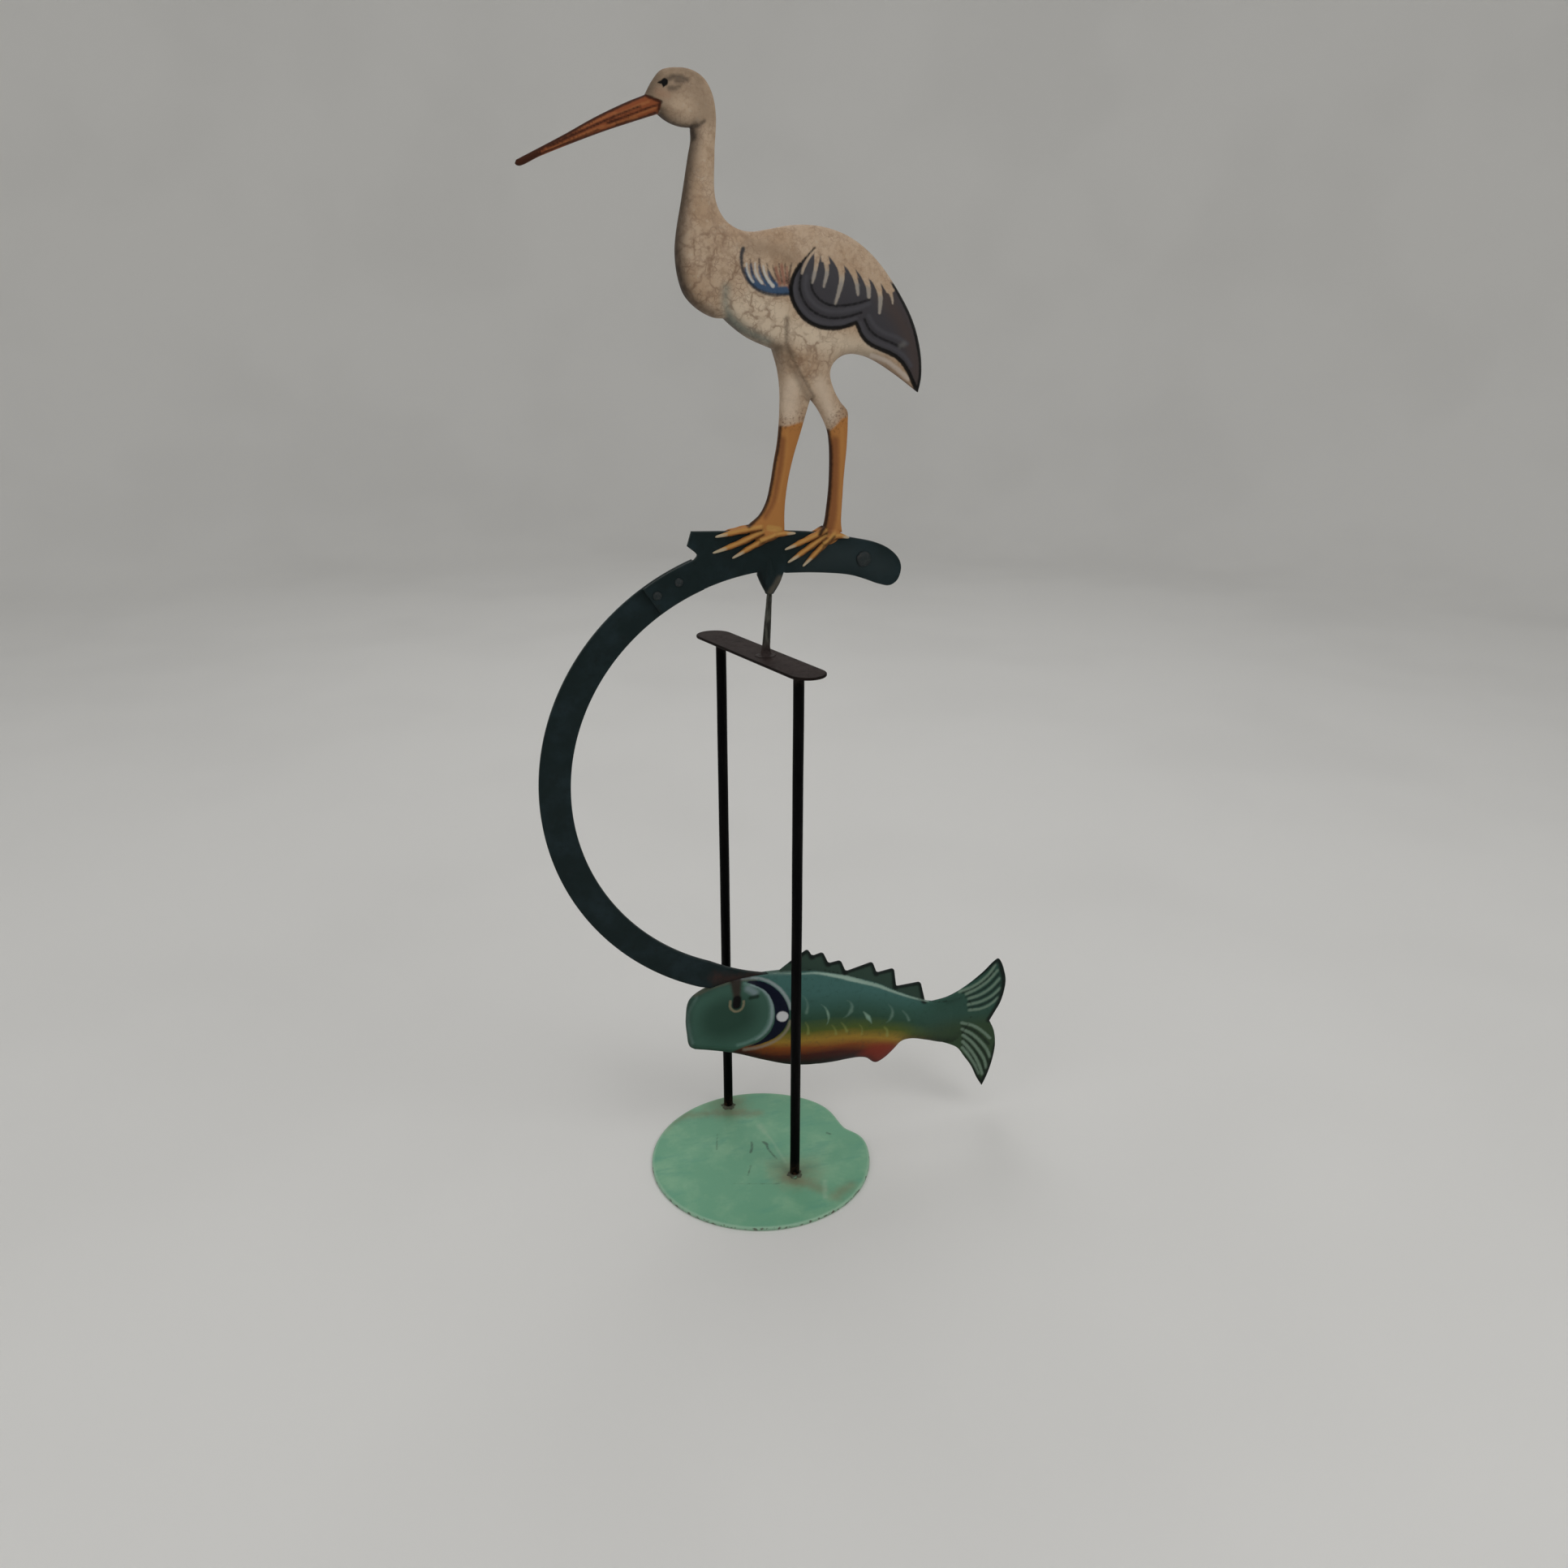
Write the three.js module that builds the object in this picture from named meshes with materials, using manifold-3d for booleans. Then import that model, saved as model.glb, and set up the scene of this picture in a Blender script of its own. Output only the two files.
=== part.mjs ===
// A painted metal balance sculpture: a wading bird on a perch, with a curved arm
// and a fish as counterweight, resting on the point of a spike over a stand.
// Millimetres, +Z up. The origin is the centre of the pad's underside. The figure
// lies in a plane square to Y and the bird faces -X.
import * as THREE from 'three';
import { ConvexHull } from 'three/addons/math/ConvexHull.js';
import { mergeVertices } from 'three/addons/utils/BufferGeometryUtils.js';
import Module from 'manifold-3d';

const wasm = await Module();
wasm.setup();

// Fit between pieces that touch
const GAP = 0.3;

// Stand
const PAD_RADIUS = 69.7;
const PAD_THICKNESS = 2.5;
const PAD_LOBE = 1.8;
const PAD_POINTS = 80;
const NOTCH_DEPTH = 8.5;
const NOTCH_ANGLE = 12.5;
const NOTCH_SPREAD = { before: 7, after: 12 };
const ROD_RADIUS = 3.1;
const ROD_SPACING = 85;
const ROD_MIDDLE = [3.5, 16.6];
const STAND_TURN = THREE.MathUtils.degToRad(17.8);
const REST_LENGTH = 122;
const REST_WIDTH = 22;
const REST_THICKNESS = 1.6;
const REST_TOP = 338.8;
const SPIKE_FROM_MIDDLE = 8.3;

// Figure: sheet, arm and perch, in its own plane with x from the spike's foot
const SHEET = 3;
const ARM_CENTRE = [11.9, 261.2];
const ARM_OUTER = 143;
const ARM_INNER = 125.1;
const PERCH_INNER = 126.2;
const ARM_LAP_END = 111.5;
const ARM_SEAM = 124;
const ARM_FISH_MEETS = 248;
const ARM_TIP = 266;
const ARM_TIP_RADII = { outer: 136.8, inner: 130 };
const LUG_TIP = [2.3, 374];
const PERCH_RIVET = [56.3, 391.2];
const LAP_RIVETS = { upper: [136, 116.4], lower: [136, 122.2] };

// Figure: stamped forms
const EDGE = 0.6;
const EDGE_ROUND = 1.4;
const FILM_CELL = 1.25;
const BIRD_PUFF = { gain: 0.85, power: 0.8, spacing: 6.5 };
const FISH_PUFF = { gain: 0.42, power: 0.85, spacing: 7.5 };
const CHEEK_RISE = 1.2;
const FIN_THICKNESS = 2.2;
const TOE_RADII = { root: 2.1, tip: 1.2 };

const PAINT = {
  pad: { color: 0x63a082, roughness: 0.55, metalness: 0.1 },
  rod: { color: 0x0c0c0f, roughness: 0.5, metalness: 0.4 },
  iron: { color: 0x3e3a37, roughness: 0.5, metalness: 0.7 },
  steel: { color: 0x5c605c, roughness: 0.4, metalness: 0.8 },
  green: { color: 0x152426, roughness: 0.5, metalness: 0.2 },
  cream: { color: 0xa08c70, roughness: 0.6, metalness: 0 },
  fish: { color: 0x2f6b5b, roughness: 0.5, metalness: 0 },
};

// Solids

function toSolid(geometry) {
  const bare = geometry.index ? geometry.clone() : geometry;
  bare.deleteAttribute('normal');
  bare.deleteAttribute('uv');
  const merged = mergeVertices(bare, 1e-4);
  return new wasm.Manifold(new wasm.Mesh({
    numProp: 3,
    vertProperties: new Float32Array(merged.attributes.position.array),
    triVerts: new Uint32Array(merged.index.array),
  }));
}

function toGeometry(solid) {
  const mesh = solid.getMesh();
  const geometry = new THREE.BufferGeometry();
  geometry.setAttribute('position', new THREE.BufferAttribute(mesh.vertProperties, 3));
  geometry.setIndex(new THREE.BufferAttribute(mesh.triVerts, 1));
  geometry.computeVertexNormals();
  return geometry;
}

function extrude(shape, thickness, middle = 0) {
  const geometry = new THREE.ExtrudeGeometry(shape, {
    depth: thickness,
    bevelEnabled: false,
    curveSegments: 24,
  });
  return geometry.translate(0, 0, middle - thickness / 2);
}

function plate(outline, thickness, middle = 0) {
  return toSolid(extrude(new THREE.Shape(outline), thickness, middle));
}

// Outlines

function polar([x, y], radius, degrees) {
  const angle = THREE.MathUtils.degToRad(degrees);
  return new THREE.Vector2(x + radius * Math.cos(angle), y + radius * Math.sin(angle));
}

// A stretch is a smooth curve through its points; stretches join at corners.
function outlineOf(stretches, spacing) {
  const outline = [];
  for (const stretch of stretches) {
    const points = stretch.map(([x, y]) => new THREE.Vector3(x, y, 0));
    const curve = new THREE.CatmullRomCurve3(points, false, 'centripetal');
    const count = points.length === 2 ? 1 : Math.max(2, Math.round(curve.getLength() / spacing));
    for (const point of curve.getSpacedPoints(count).slice(0, -1)) {
      outline.push(new THREE.Vector2(point.x, point.y));
    }
  }
  return outline;
}

function arc(centre, radiusAt, from, to, step) {
  const count = Math.ceil(Math.abs(to - from) / step);
  return Array.from({ length: count + 1 }, (_, i) => {
    const degrees = from + ((to - from) * i) / count;
    return polar(centre, radiusAt(degrees), degrees);
  });
}

function isInside(outline, x, y) {
  let inside = false;
  for (let i = 0, j = outline.length - 1; i < outline.length; j = i, i += 1) {
    const a = outline[i];
    const b = outline[j];
    if (a.y > y !== b.y > y && x < ((b.x - a.x) * (y - a.y)) / (b.y - a.y) + a.x) {
      inside = !inside;
    }
  }
  return inside;
}

// How far a sheet clamped along the outline bulges, as a soap film does: across a
// strip it is the half circle on the strip's width.
function bulgeInside(outline) {
  const box = new THREE.Box2().setFromPoints(outline).expandByScalar(2 * FILM_CELL);
  const across = Math.ceil((box.max.x - box.min.x) / FILM_CELL) + 1;
  const up = Math.ceil((box.max.y - box.min.y) / FILM_CELL) + 1;
  const film = new Float64Array(across * up);
  const nodes = [];
  for (let j = 1; j < up - 1; j += 1) {
    for (let i = 1; i < across - 1; i += 1) {
      const x = box.min.x + i * FILM_CELL;
      const y = box.min.y + j * FILM_CELL;
      if (isInside(outline, x, y)) nodes.push(j * across + i);
    }
  }
  const overRelax = 1.9;
  const sweeps = 500;
  for (let sweep = 0; sweep < sweeps; sweep += 1) {
    for (const n of nodes) {
      const around = film[n - 1] + film[n + 1] + film[n - across] + film[n + across];
      film[n] += overRelax * ((around + FILM_CELL ** 2) / 4 - film[n]);
    }
  }
  return (x, y) => {
    const u = THREE.MathUtils.clamp((x - box.min.x) / FILM_CELL, 0, across - 1.001);
    const v = THREE.MathUtils.clamp((y - box.min.y) / FILM_CELL, 0, up - 1.001);
    const [i, j] = [Math.floor(u), Math.floor(v)];
    const n = j * across + i;
    const low = THREE.MathUtils.lerp(film[n], film[n + 1], u - i);
    const high = THREE.MathUtils.lerp(film[n + across], film[n + across + 1], u - i);
    return Math.sqrt(2 * THREE.MathUtils.lerp(low, high, v - j));
  };
}

function distanceTo(outline, x, y) {
  const point = new THREE.Vector3(x, y, 0);
  const side = new THREE.Line3();
  const nearest = new THREE.Vector3();
  let least = Infinity;
  outline.forEach((from, i) => {
    const to = outline[(i + 1) % outline.length];
    side.start.set(from.x, from.y, 0);
    side.end.set(to.x, to.y, 0);
    side.closestPointToPoint(point, true, nearest);
    least = Math.min(least, nearest.distanceTo(point));
  });
  return least;
}

// Points of a triangular grid inside the outline, clear of its edge
function pointsInside(outline, spacing, clearance) {
  const box = new THREE.Box2().setFromPoints(outline);
  const points = [];
  const rowStep = spacing * Math.sin(Math.PI / 3);
  const rows = Math.ceil((box.max.y - box.min.y) / rowStep);
  const columns = Math.ceil((box.max.x - box.min.x) / spacing) + 1;
  for (let row = 0; row <= rows; row += 1) {
    for (let column = 0; column <= columns; column += 1) {
      const x = box.min.x + (column - (row % 2) / 2) * spacing;
      const y = box.min.y + row * rowStep;
      if (isInside(outline, x, y) && distanceTo(outline, x, y) > clearance) {
        points.push(new THREE.Vector2(x, y));
      }
    }
  }
  return points;
}

// Points just inside the outline, so that the stamped edge keeps its round
function innerRing(outline, inset) {
  const points = [];
  outline.forEach((point, i) => {
    const before = outline.at(i - 1);
    const after = outline[(i + 1) % outline.length];
    const along = new THREE.Vector2().subVectors(after, before).normalize();
    const inner = new THREE.Vector2(point.x - along.y * inset, point.y + along.x * inset);
    const fits = isInside(outline, inner.x, inner.y);
    if (fits && distanceTo(outline, inner.x, inner.y) > 0.8 * inset) points.push(inner);
  });
  return points;
}

// The lower side of the hull of points lifted onto a bowl joins nearest neighbours.
function triangulate(outline, inner) {
  const flat = [...outline, ...inner];
  const middle = new THREE.Box2().setFromPoints(outline).getCenter(new THREE.Vector2());
  const lifted = flat.map(({ x, y }) => {
    const across = x - middle.x;
    const up = y - middle.y;
    return new THREE.Vector3(across, up, (across ** 2 + up ** 2) / 100);
  });
  const index = new Map(lifted.map((point, i) => [point, i]));
  const triangles = [];
  for (const face of new ConvexHull().setFromPoints(lifted).faces) {
    if (face.normal.z > -1e-9) continue;
    const corners = [face.getEdge(0), face.getEdge(1), face.getEdge(2)].map((e) => e.head().point);
    const [a, b, c] = corners.map((point) => index.get(point));
    const x = (flat[a].x + flat[b].x + flat[c].x) / 3;
    const y = (flat[a].y + flat[b].y + flat[c].y) / 3;
    if (isInside(outline, x, y)) triangles.push([a, c, b]);
  }
  return { flat, triangles };
}

// A body with the same stamped relief on both faces and a thin rim along the outline
function stamped(outline, spacing, halfThicknessAt) {
  const ring = innerRing(outline, EDGE_ROUND);
  const grid = pointsInside(outline, spacing, EDGE_ROUND + 0.4 * spacing);
  const { flat, triangles } = triangulate(outline, [...ring, ...grid]);
  const positions = [];
  for (const side of [1, -1]) {
    flat.forEach(({ x, y }, i) => {
      positions.push(x, y, side * (i < outline.length ? EDGE : halfThicknessAt(x, y)));
    });
  }
  const faces = [];
  const open = new Map();
  for (const [a, b, c] of triangles) {
    faces.push(a, b, c, flat.length + a, flat.length + c, flat.length + b);
    for (const [from, to] of [[a, b], [b, c], [c, a]]) {
      if (!open.delete(`${to} ${from}`)) open.set(`${from} ${to}`, [from, to]);
    }
  }
  for (const [from, to] of open.values()) {
    faces.push(to, from, flat.length + from, to, flat.length + from, flat.length + to);
  }
  const geometry = new THREE.BufferGeometry();
  geometry.setAttribute('position', new THREE.Float32BufferAttribute(positions, 3));
  geometry.setIndex(faces);
  return toSolid(geometry);
}

// Stand

function padRadius(degrees) {
  const lobe = PAD_LOBE * Math.cos(2 * THREE.MathUtils.degToRad(degrees + 15));
  const off = THREE.MathUtils.euclideanModulo(degrees - NOTCH_ANGLE + 180, 360) - 180;
  const spread = off < 0 ? NOTCH_SPREAD.before : NOTCH_SPREAD.after;
  return PAD_RADIUS + lobe - NOTCH_DEPTH * Math.exp(-((off / spread) ** 2));
}

function padGeometry() {
  const outline = arc([0, 0], padRadius, 0, 360, 360 / PAD_POINTS).slice(0, -1);
  return extrude(new THREE.Shape(outline), PAD_THICKNESS, PAD_THICKNESS / 2);
}

function rodGeometry() {
  const top = REST_TOP - REST_THICKNESS - GAP;
  const bottom = PAD_THICKNESS + GAP;
  const rod = new THREE.CylinderGeometry(ROD_RADIUS, ROD_RADIUS, top - bottom, 20);
  return rod.rotateX(Math.PI / 2).translate(0, 0, (top + bottom) / 2);
}

// A flat strip with round ends; x runs along it
function restGeometry() {
  const round = REST_WIDTH / 2;
  const middle = REST_LENGTH / 2 - round;
  const outline = [
    ...arc([middle, 0], () => round, -90, 90, 12),
    ...arc([-middle, 0], () => round, 90, 270, 12),
  ];
  return extrude(new THREE.Shape(outline), REST_THICKNESS, REST_TOP - REST_THICKNESS / 2);
}

// The soldered foot flares out; the shaft leans a little and tapers up to its point in the lug.
function spikeGeometry() {
  const height = LUG_TIP[1] - REST_TOP;
  const profile = [
    [0, 0], [7.5, 0], [6.6, 1], [4.6, 3.4], [3, 6.4], [2.2, 10.4], [1.9, 20],
    [1.25, height], [0.4, height + 2.2], [0, height + 2.4],
  ];
  const points = profile.map(([r, y]) => new THREE.Vector2(r, y));
  const lean = new THREE.Matrix4().makeShear(0, 0, 0, 0, LUG_TIP[0] / height, 0);
  return new THREE.LatheGeometry(points, 20).rotateX(Math.PI / 2).applyMatrix4(lean);
}

// Arm and perch

function armRadii(degrees) {
  const taper = THREE.MathUtils.clamp((degrees - ARM_FISH_MEETS) / (ARM_TIP - ARM_FISH_MEETS), 0, 1);
  return {
    outer: THREE.MathUtils.lerp(ARM_OUTER, ARM_TIP_RADII.outer, taper),
    inner: THREE.MathUtils.lerp(ARM_INNER, ARM_TIP_RADII.inner, taper),
  };
}

function armOutline(grow = 0) {
  const outer = (degrees) => armRadii(degrees).outer + grow;
  const inner = (degrees) => armRadii(degrees).inner - grow;
  const tip = ARM_TIP + grow / 2;
  return [
    ...arc(ARM_CENTRE, outer, ARM_LAP_END, ARM_FISH_MEETS, 4),
    ...arc(ARM_CENTRE, outer, ARM_FISH_MEETS, tip, 3).slice(1),
    ...arc(ARM_CENTRE, inner, tip, ARM_FISH_MEETS, 3),
    ...arc(ARM_CENTRE, inner, ARM_FISH_MEETS, ARM_LAP_END, 4).slice(1),
  ];
}

function perchOutline() {
  const notch = 110.6;
  const lugSide = 97.5;
  const upper = outlineOf([
    [[-39.2, 395.2], [-38, 396.9], [-43.4, 402]],
    [[-43.4, 402], [-41, 409.8]],
    [[-41, 409.8], [-12, 409], [17, 408], [32.6, 406.4], [48.5, 403.4], [63, 400.1],
      [71.3, 396.3], [77.2, 390.7], [79, 385.2], [77, 378.4], [72.5, 375.5], [65.4, 376.8],
      [57.1, 379.9], [48.1, 382.6], [27.7, 384.8], [10.2, 385.3]],
    [[10.2, 385.6], [8, 380], [LUG_TIP[0] + 2, LUG_TIP[1]]],
    [[LUG_TIP[0] + 2, LUG_TIP[1]], [LUG_TIP[0] - 1.9, LUG_TIP[1]]],
    [[LUG_TIP[0] - 1.9, LUG_TIP[1]], [-2.6, 379.6], [-5.2, 385.7]],
  ], 4);
  return [
    ...arc(ARM_CENTRE, () => ARM_OUTER, ARM_SEAM, notch, 4).slice(0, -1),
    ...upper,
    ...arc(ARM_CENTRE, () => PERCH_INNER, lugSide, ARM_SEAM, 4),
  ];
}

// A cone of solder swells the lug round the spike's socket.
function lugSwelling() {
  const profile = [[0, 0], [2.2, 0], [3.2, 2.5], [5, 8], [4.2, 12], [0, 15]];
  const points = profile.map(([r, y]) => new THREE.Vector2(r, y));
  return new THREE.LatheGeometry(points, 20).translate(LUG_TIP[0], LUG_TIP[1], 0);
}

function spikeSocket() {
  const profile = [[0, -1], [1.7, -1], [1.6, 0], [0.9, 2.5], [0, 3.2]];
  const points = profile.map(([r, y]) => new THREE.Vector2(r, y));
  return new THREE.LatheGeometry(points, 16).translate(LUG_TIP[0], LUG_TIP[1], 0);
}

function rivetHole([x, y], radius) {
  const hole = new THREE.CylinderGeometry(radius + GAP, radius + GAP, 6 * SHEET, 16);
  return toSolid(hole.rotateX(Math.PI / 2).translate(x, y, 0));
}

function perchGeometry(rivets) {
  let solid = plate(perchOutline(), SHEET).add(toSolid(lugSwelling()));
  solid = solid.subtract(toSolid(spikeSocket()));
  for (const rivet of rivets) solid = solid.subtract(rivetHole(rivet.at, rivet.shank));
  return toGeometry(solid);
}

function armGeometry(rivets) {
  let solid = plate(armOutline(), SHEET);
  for (const rivet of rivets) solid = solid.subtract(rivetHole(rivet.at, rivet.shank));
  return toGeometry(solid);
}

// A domed head on each face and a shank through the hole; z runs through the sheets.
function rivetGeometry({ head, dome, shank, front, back }) {
  const faces = [back - GAP, front + GAP];
  const profile = [
    [0, faces[0] - dome], [head * 0.6, faces[0] - dome * 0.75], [head * 0.92, faces[0] - dome * 0.3],
    [head, faces[0]], [shank, faces[0]], [shank, faces[1]], [head, faces[1]],
    [head * 0.92, faces[1] + dome * 0.3], [head * 0.6, faces[1] + dome * 0.75], [0, faces[1] + dome],
  ];
  const points = profile.map(([r, y]) => new THREE.Vector2(r, y));
  return new THREE.LatheGeometry(points, 14).rotateX(Math.PI / 2);
}

// Bird

const BIRD_STRETCHES = [
  [[-58.1, 613.2], [-54.3, 619.3], [-49.9, 623.8], [-42.7, 625.2], [-35.5, 624.5], [-29.6, 621.2],
    [-25.9, 615], [-24.3, 606], [-25.4, 589], [-24.9, 569], [-20.1, 560.7], [-13.4, 556.9],
    [-6.7, 556.1], [1.1, 557.3], [14.8, 559.6], [28.6, 559.3], [43.6, 554.9], [56.9, 545.9],
    [68.8, 532.5], [79.6, 515.6], [84.8, 500.1], [86, 487.7], [84.9, 479.4]],
  [[84.9, 479.4], [70.6, 489.2], [60.8, 494.9], [53.4, 497.9], [46.1, 498.9], [40.2, 497.5],
    [36, 493.9], [34.7, 489.5], [36.6, 482.5], [40.6, 475.6], [45, 470.3], [45.3, 464.9],
    [45.1, 452.9], [43.9, 437.6], [43.1, 422], [42.8, 412], [43.6, 406.4]],
  [[43.6, 406.4], [30.5, 404.5]],
  [[30.5, 404.5], [33.2, 411], [34.6, 420], [35.7, 432.6], [35.5, 453.1], [34.1, 461.1],
    [29, 471], [24.2, 477]],
  [[24.2, 477], [19.6, 461.3], [15.3, 447.4], [12.1, 433.3], [10.5, 418.9], [10.6, 406.5]],
  [[10.6, 406.5], [-9, 405.5]],
  [[-9, 405.5], [-10, 410.8], [-3.1, 417.2], [0.7, 424.3], [2.9, 433.5], [4.6, 443.6], [6.8, 455.6],
    [7.9, 469.3], [8.1, 480.6], [7, 490.5], [4, 501.2]],
  [[4, 501.2], [-9.2, 506.6], [-17.1, 511.9], [-21.6, 515.8]],
  [[-21.6, 515.8], [-26.8, 516.2], [-34.7, 519.9], [-41.4, 526.4], [-44.6, 535.5], [-45.6, 545.7],
    [-44.8, 554.2], [-41.6, 570], [-37.8, 588], [-36.2, 595], [-36.5, 600.5]],
  [[-36.5, 600.5], [-40.5, 600.6], [-44.8, 601.5], [-49.1, 603.6], [-52.2, 605.9]],
  [[-52.2, 605.9], [-64.3, 602.4], [-79.5, 597.1], [-107.6, 586.2], [-118.2, 581.6], [-119.9, 582.4],
    [-119.3, 584]],
  [[-119.3, 584], [-96.5, 595.3], [-82, 602.9], [-67.6, 609.5], [-58.1, 613.2]],
];

// Each toe lies on the perch's face, from the foot to its claw.
const TOES = [
  [[-2, 411], [-15, 408.6], [-27.5, 406]],
  [[-1, 410], [-14, 402.6], [-29, 397.4]],
  [[1, 409], [-8, 400.8], [-18.2, 394.2]],
  [[4, 409.5], [11, 407.6], [17.5, 406]],
  [[35, 409], [23, 402.6], [11.5, 397.6]],
  [[36, 408], [25.5, 398.6], [13.2, 390.4]],
  [[37.5, 407.5], [30, 396.6], [21.8, 388]],
  [[39, 407.5], [44, 404.4], [48.5, 402.6]],
];

// Where the toes meet, and how wide the foot is there
const PALMS = [[[1, 409.5], 17], [[37, 408.6], 12]];

function toeSolid(points, side) {
  const centre = side * (SHEET / 2 + GAP + 0.5);
  const path = new THREE.CatmullRomCurve3(points.map(([x, y]) => new THREE.Vector3(x, y, centre)));
  const rings = 4;
  const sides = 8;
  const across = new THREE.Vector3(0, 0, 1);
  const positions = [];
  for (let ring = 0; ring <= rings; ring += 1) {
    const along = ring / rings;
    const at = path.getPointAt(along);
    const sideways = new THREE.Vector3().crossVectors(path.getTangentAt(along), across);
    const radius = THREE.MathUtils.lerp(TOE_RADII.root, TOE_RADII.tip, along) * (ring === rings ? 0.5 : 1);
    for (let k = 0; k < sides; k += 1) {
      const angle = (2 * Math.PI * k) / sides;
      const point = at.clone()
        .addScaledVector(sideways, radius * Math.cos(angle))
        .addScaledVector(across, radius * 1.15 * Math.sin(angle));
      positions.push(point.x, point.y, point.z);
    }
  }
  const faces = [];
  for (let ring = 0; ring < rings; ring += 1) {
    for (let k = 0; k < sides; k += 1) {
      const a = ring * sides + k;
      const b = ring * sides + ((k + 1) % sides);
      faces.push(a, b + sides, b, a, a + sides, b + sides);
    }
  }
  for (let k = 1; k < sides - 1; k += 1) {
    const last = rings * sides;
    faces.push(0, k, k + 1, last, last + k + 1, last + k);
  }
  const geometry = new THREE.BufferGeometry();
  geometry.setAttribute('position', new THREE.Float32BufferAttribute(positions, 3));
  geometry.setIndex(faces);
  return toSolid(geometry);
}

// A low lump where the toes of a foot meet
function palmSolid([x, y], width) {
  const palm = new THREE.SphereGeometry(1, 12, 8);
  return toSolid(palm.scale(width / 2, 6, SHEET / 2 + GAP + 2.6).translate(x, y, 0));
}

function birdGeometry() {
  const outline = outlineOf(BIRD_STRETCHES, 4.5);
  const bulgeAt = bulgeInside(outline);
  const { gain, power, spacing } = BIRD_PUFF;
  let solid = stamped(outline, spacing, (x, y) => EDGE + gain * bulgeAt(x, y) ** power);
  for (const [at, width] of PALMS) solid = solid.add(palmSolid(at, width));
  for (const toe of TOES) {
    for (const side of [-1, 1]) solid = solid.add(toeSolid(toe, side));
  }
  // The feet straddle the perch's edge.
  const straddle = perchOutline().map((p) => new THREE.Vector2(p.x, p.y + GAP));
  return toGeometry(solid.subtract(plate(straddle, SHEET + 2 * GAP)));
}

// Fish

const FISH_BODY = [
  [[-49.8, 85], [-50.7, 94.8], [-51.4, 105.9], [-48.9, 119], [-40.4, 125.4], [-18.3, 131.4], [3.8, 132.2],
    [20.9, 131.2], [39.3, 128.4], [58.6, 120.8], [78.4, 111.4], [96.9, 101.2], [109.8, 94.9],
    [123.5, 92.6], [137.5, 93.8], [143.6, 83.8], [140.6, 71.7], [131.5, 60.6], [123.2, 60.9], [111.2, 65],
    [99.4, 68.3], [83.3, 64.1], [63.2, 60.2], [40.4, 59.5], [26, 60.4], [13.9, 63], [-2.2, 69.2],
    [-20.3, 77], [-35.4, 81.6], [-49.8, 85]],
];
const FISH_CHEEK = [
  [[-49.8, 85], [-50.7, 94.8], [-51.4, 105.9], [-48.9, 119], [-40.4, 125.4], [-18.3, 130], [-6.2, 126.5],
    [2.8, 114.9], [6.3, 101.9], [2.8, 88.8], [-7.2, 80.8], [-19.3, 78.2], [-35.4, 81.6], [-49.8, 85]],
];
// The back fin's teeth lean towards the tail: [tip, foot of the drop behind it]
const BACK_FIN_TEETH = [
  [[27.8, 145.2], [31, 139.7]],
  [[38, 141.6], [41.9, 132.8]],
  [[50, 134], [53.6, 125.2]],
  [[71.6, 129.8], [74.8, 121.2]],
  [[86.5, 123], [88.6, 109]],
  [[105.6, 110], [109.4, 95]],
];
const TAIL_FIN = [
  [[113.4, 93.6], [125.9, 95], [138, 101], [150.4, 110.2], [158.8, 117.2], [162.3, 118.4],
    [164.8, 112.6], [166.9, 103.9], [166.3, 93.8], [163.8, 85], [159.4, 77.8], [156.6, 72.5]],
  [[156.6, 72.5], [161.1, 63.9], [163, 52.5], [161.5, 40.5], [158.3, 28.5], [155, 20.4]],
  [[155, 20.4], [151.2, 26.8], [146.2, 37.5], [140.2, 46.6], [134.5, 54.6], [123.2, 60.9], [113.4, 64.2]],
  [[113.4, 64.2], [113.4, 93.6]],
];
const BELLY_FIN = [
  [[65.2, 63.7], [67.2, 60], [75.2, 53]],
  [[75.2, 53], [81.8, 55.8], [89.2, 63.3], [93.3, 69.7]],
  [[93.3, 69.7], [65.2, 63.7]],
];

function backFin() {
  const points = [[6.9, 128], [8.9, 132.2], [16.9, 138]];
  for (const [tip, foot] of BACK_FIN_TEETH) points.push(tip, foot);
  points.push([105, 90], [61, 110], [21, 122]);
  return points.map(([x, y]) => new THREE.Vector2(x, y));
}

function fishGeometry() {
  const body = outlineOf(FISH_BODY, 5.5);
  const cheek = outlineOf(FISH_CHEEK, 5);
  const bulgeAt = bulgeInside(body);
  const cheekAt = bulgeInside(cheek);
  const { gain, power, spacing } = FISH_PUFF;
  const rise = (x, y) => CHEEK_RISE * Math.min(1, cheekAt(x, y) / 6);
  let solid = stamped(body, spacing, (x, y) => EDGE + gain * bulgeAt(x, y) ** power + rise(x, y));
  solid = solid.add(plate(backFin(), FIN_THICKNESS));
  solid = solid.add(plate(outlineOf(TAIL_FIN, 6), FIN_THICKNESS));
  solid = solid.add(plate(outlineOf(BELLY_FIN, 5), FIN_THICKNESS));
  // The arm's tongue sits in a slot in the fish's back.
  return toGeometry(solid.subtract(plate(armOutline(GAP), SHEET + 2 * GAP)));
}

// Assembly

const root = new THREE.Group();

function addPiece(parent, name, geometry, paint, position = [0, 0, 0]) {
  const mesh = new THREE.Mesh(geometry, new THREE.MeshStandardMaterial(paint));
  mesh.name = name;
  mesh.position.set(...position);
  parent.add(mesh);
  return mesh;
}

addPiece(root, 'pad', padGeometry(), PAINT.pad);

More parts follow.
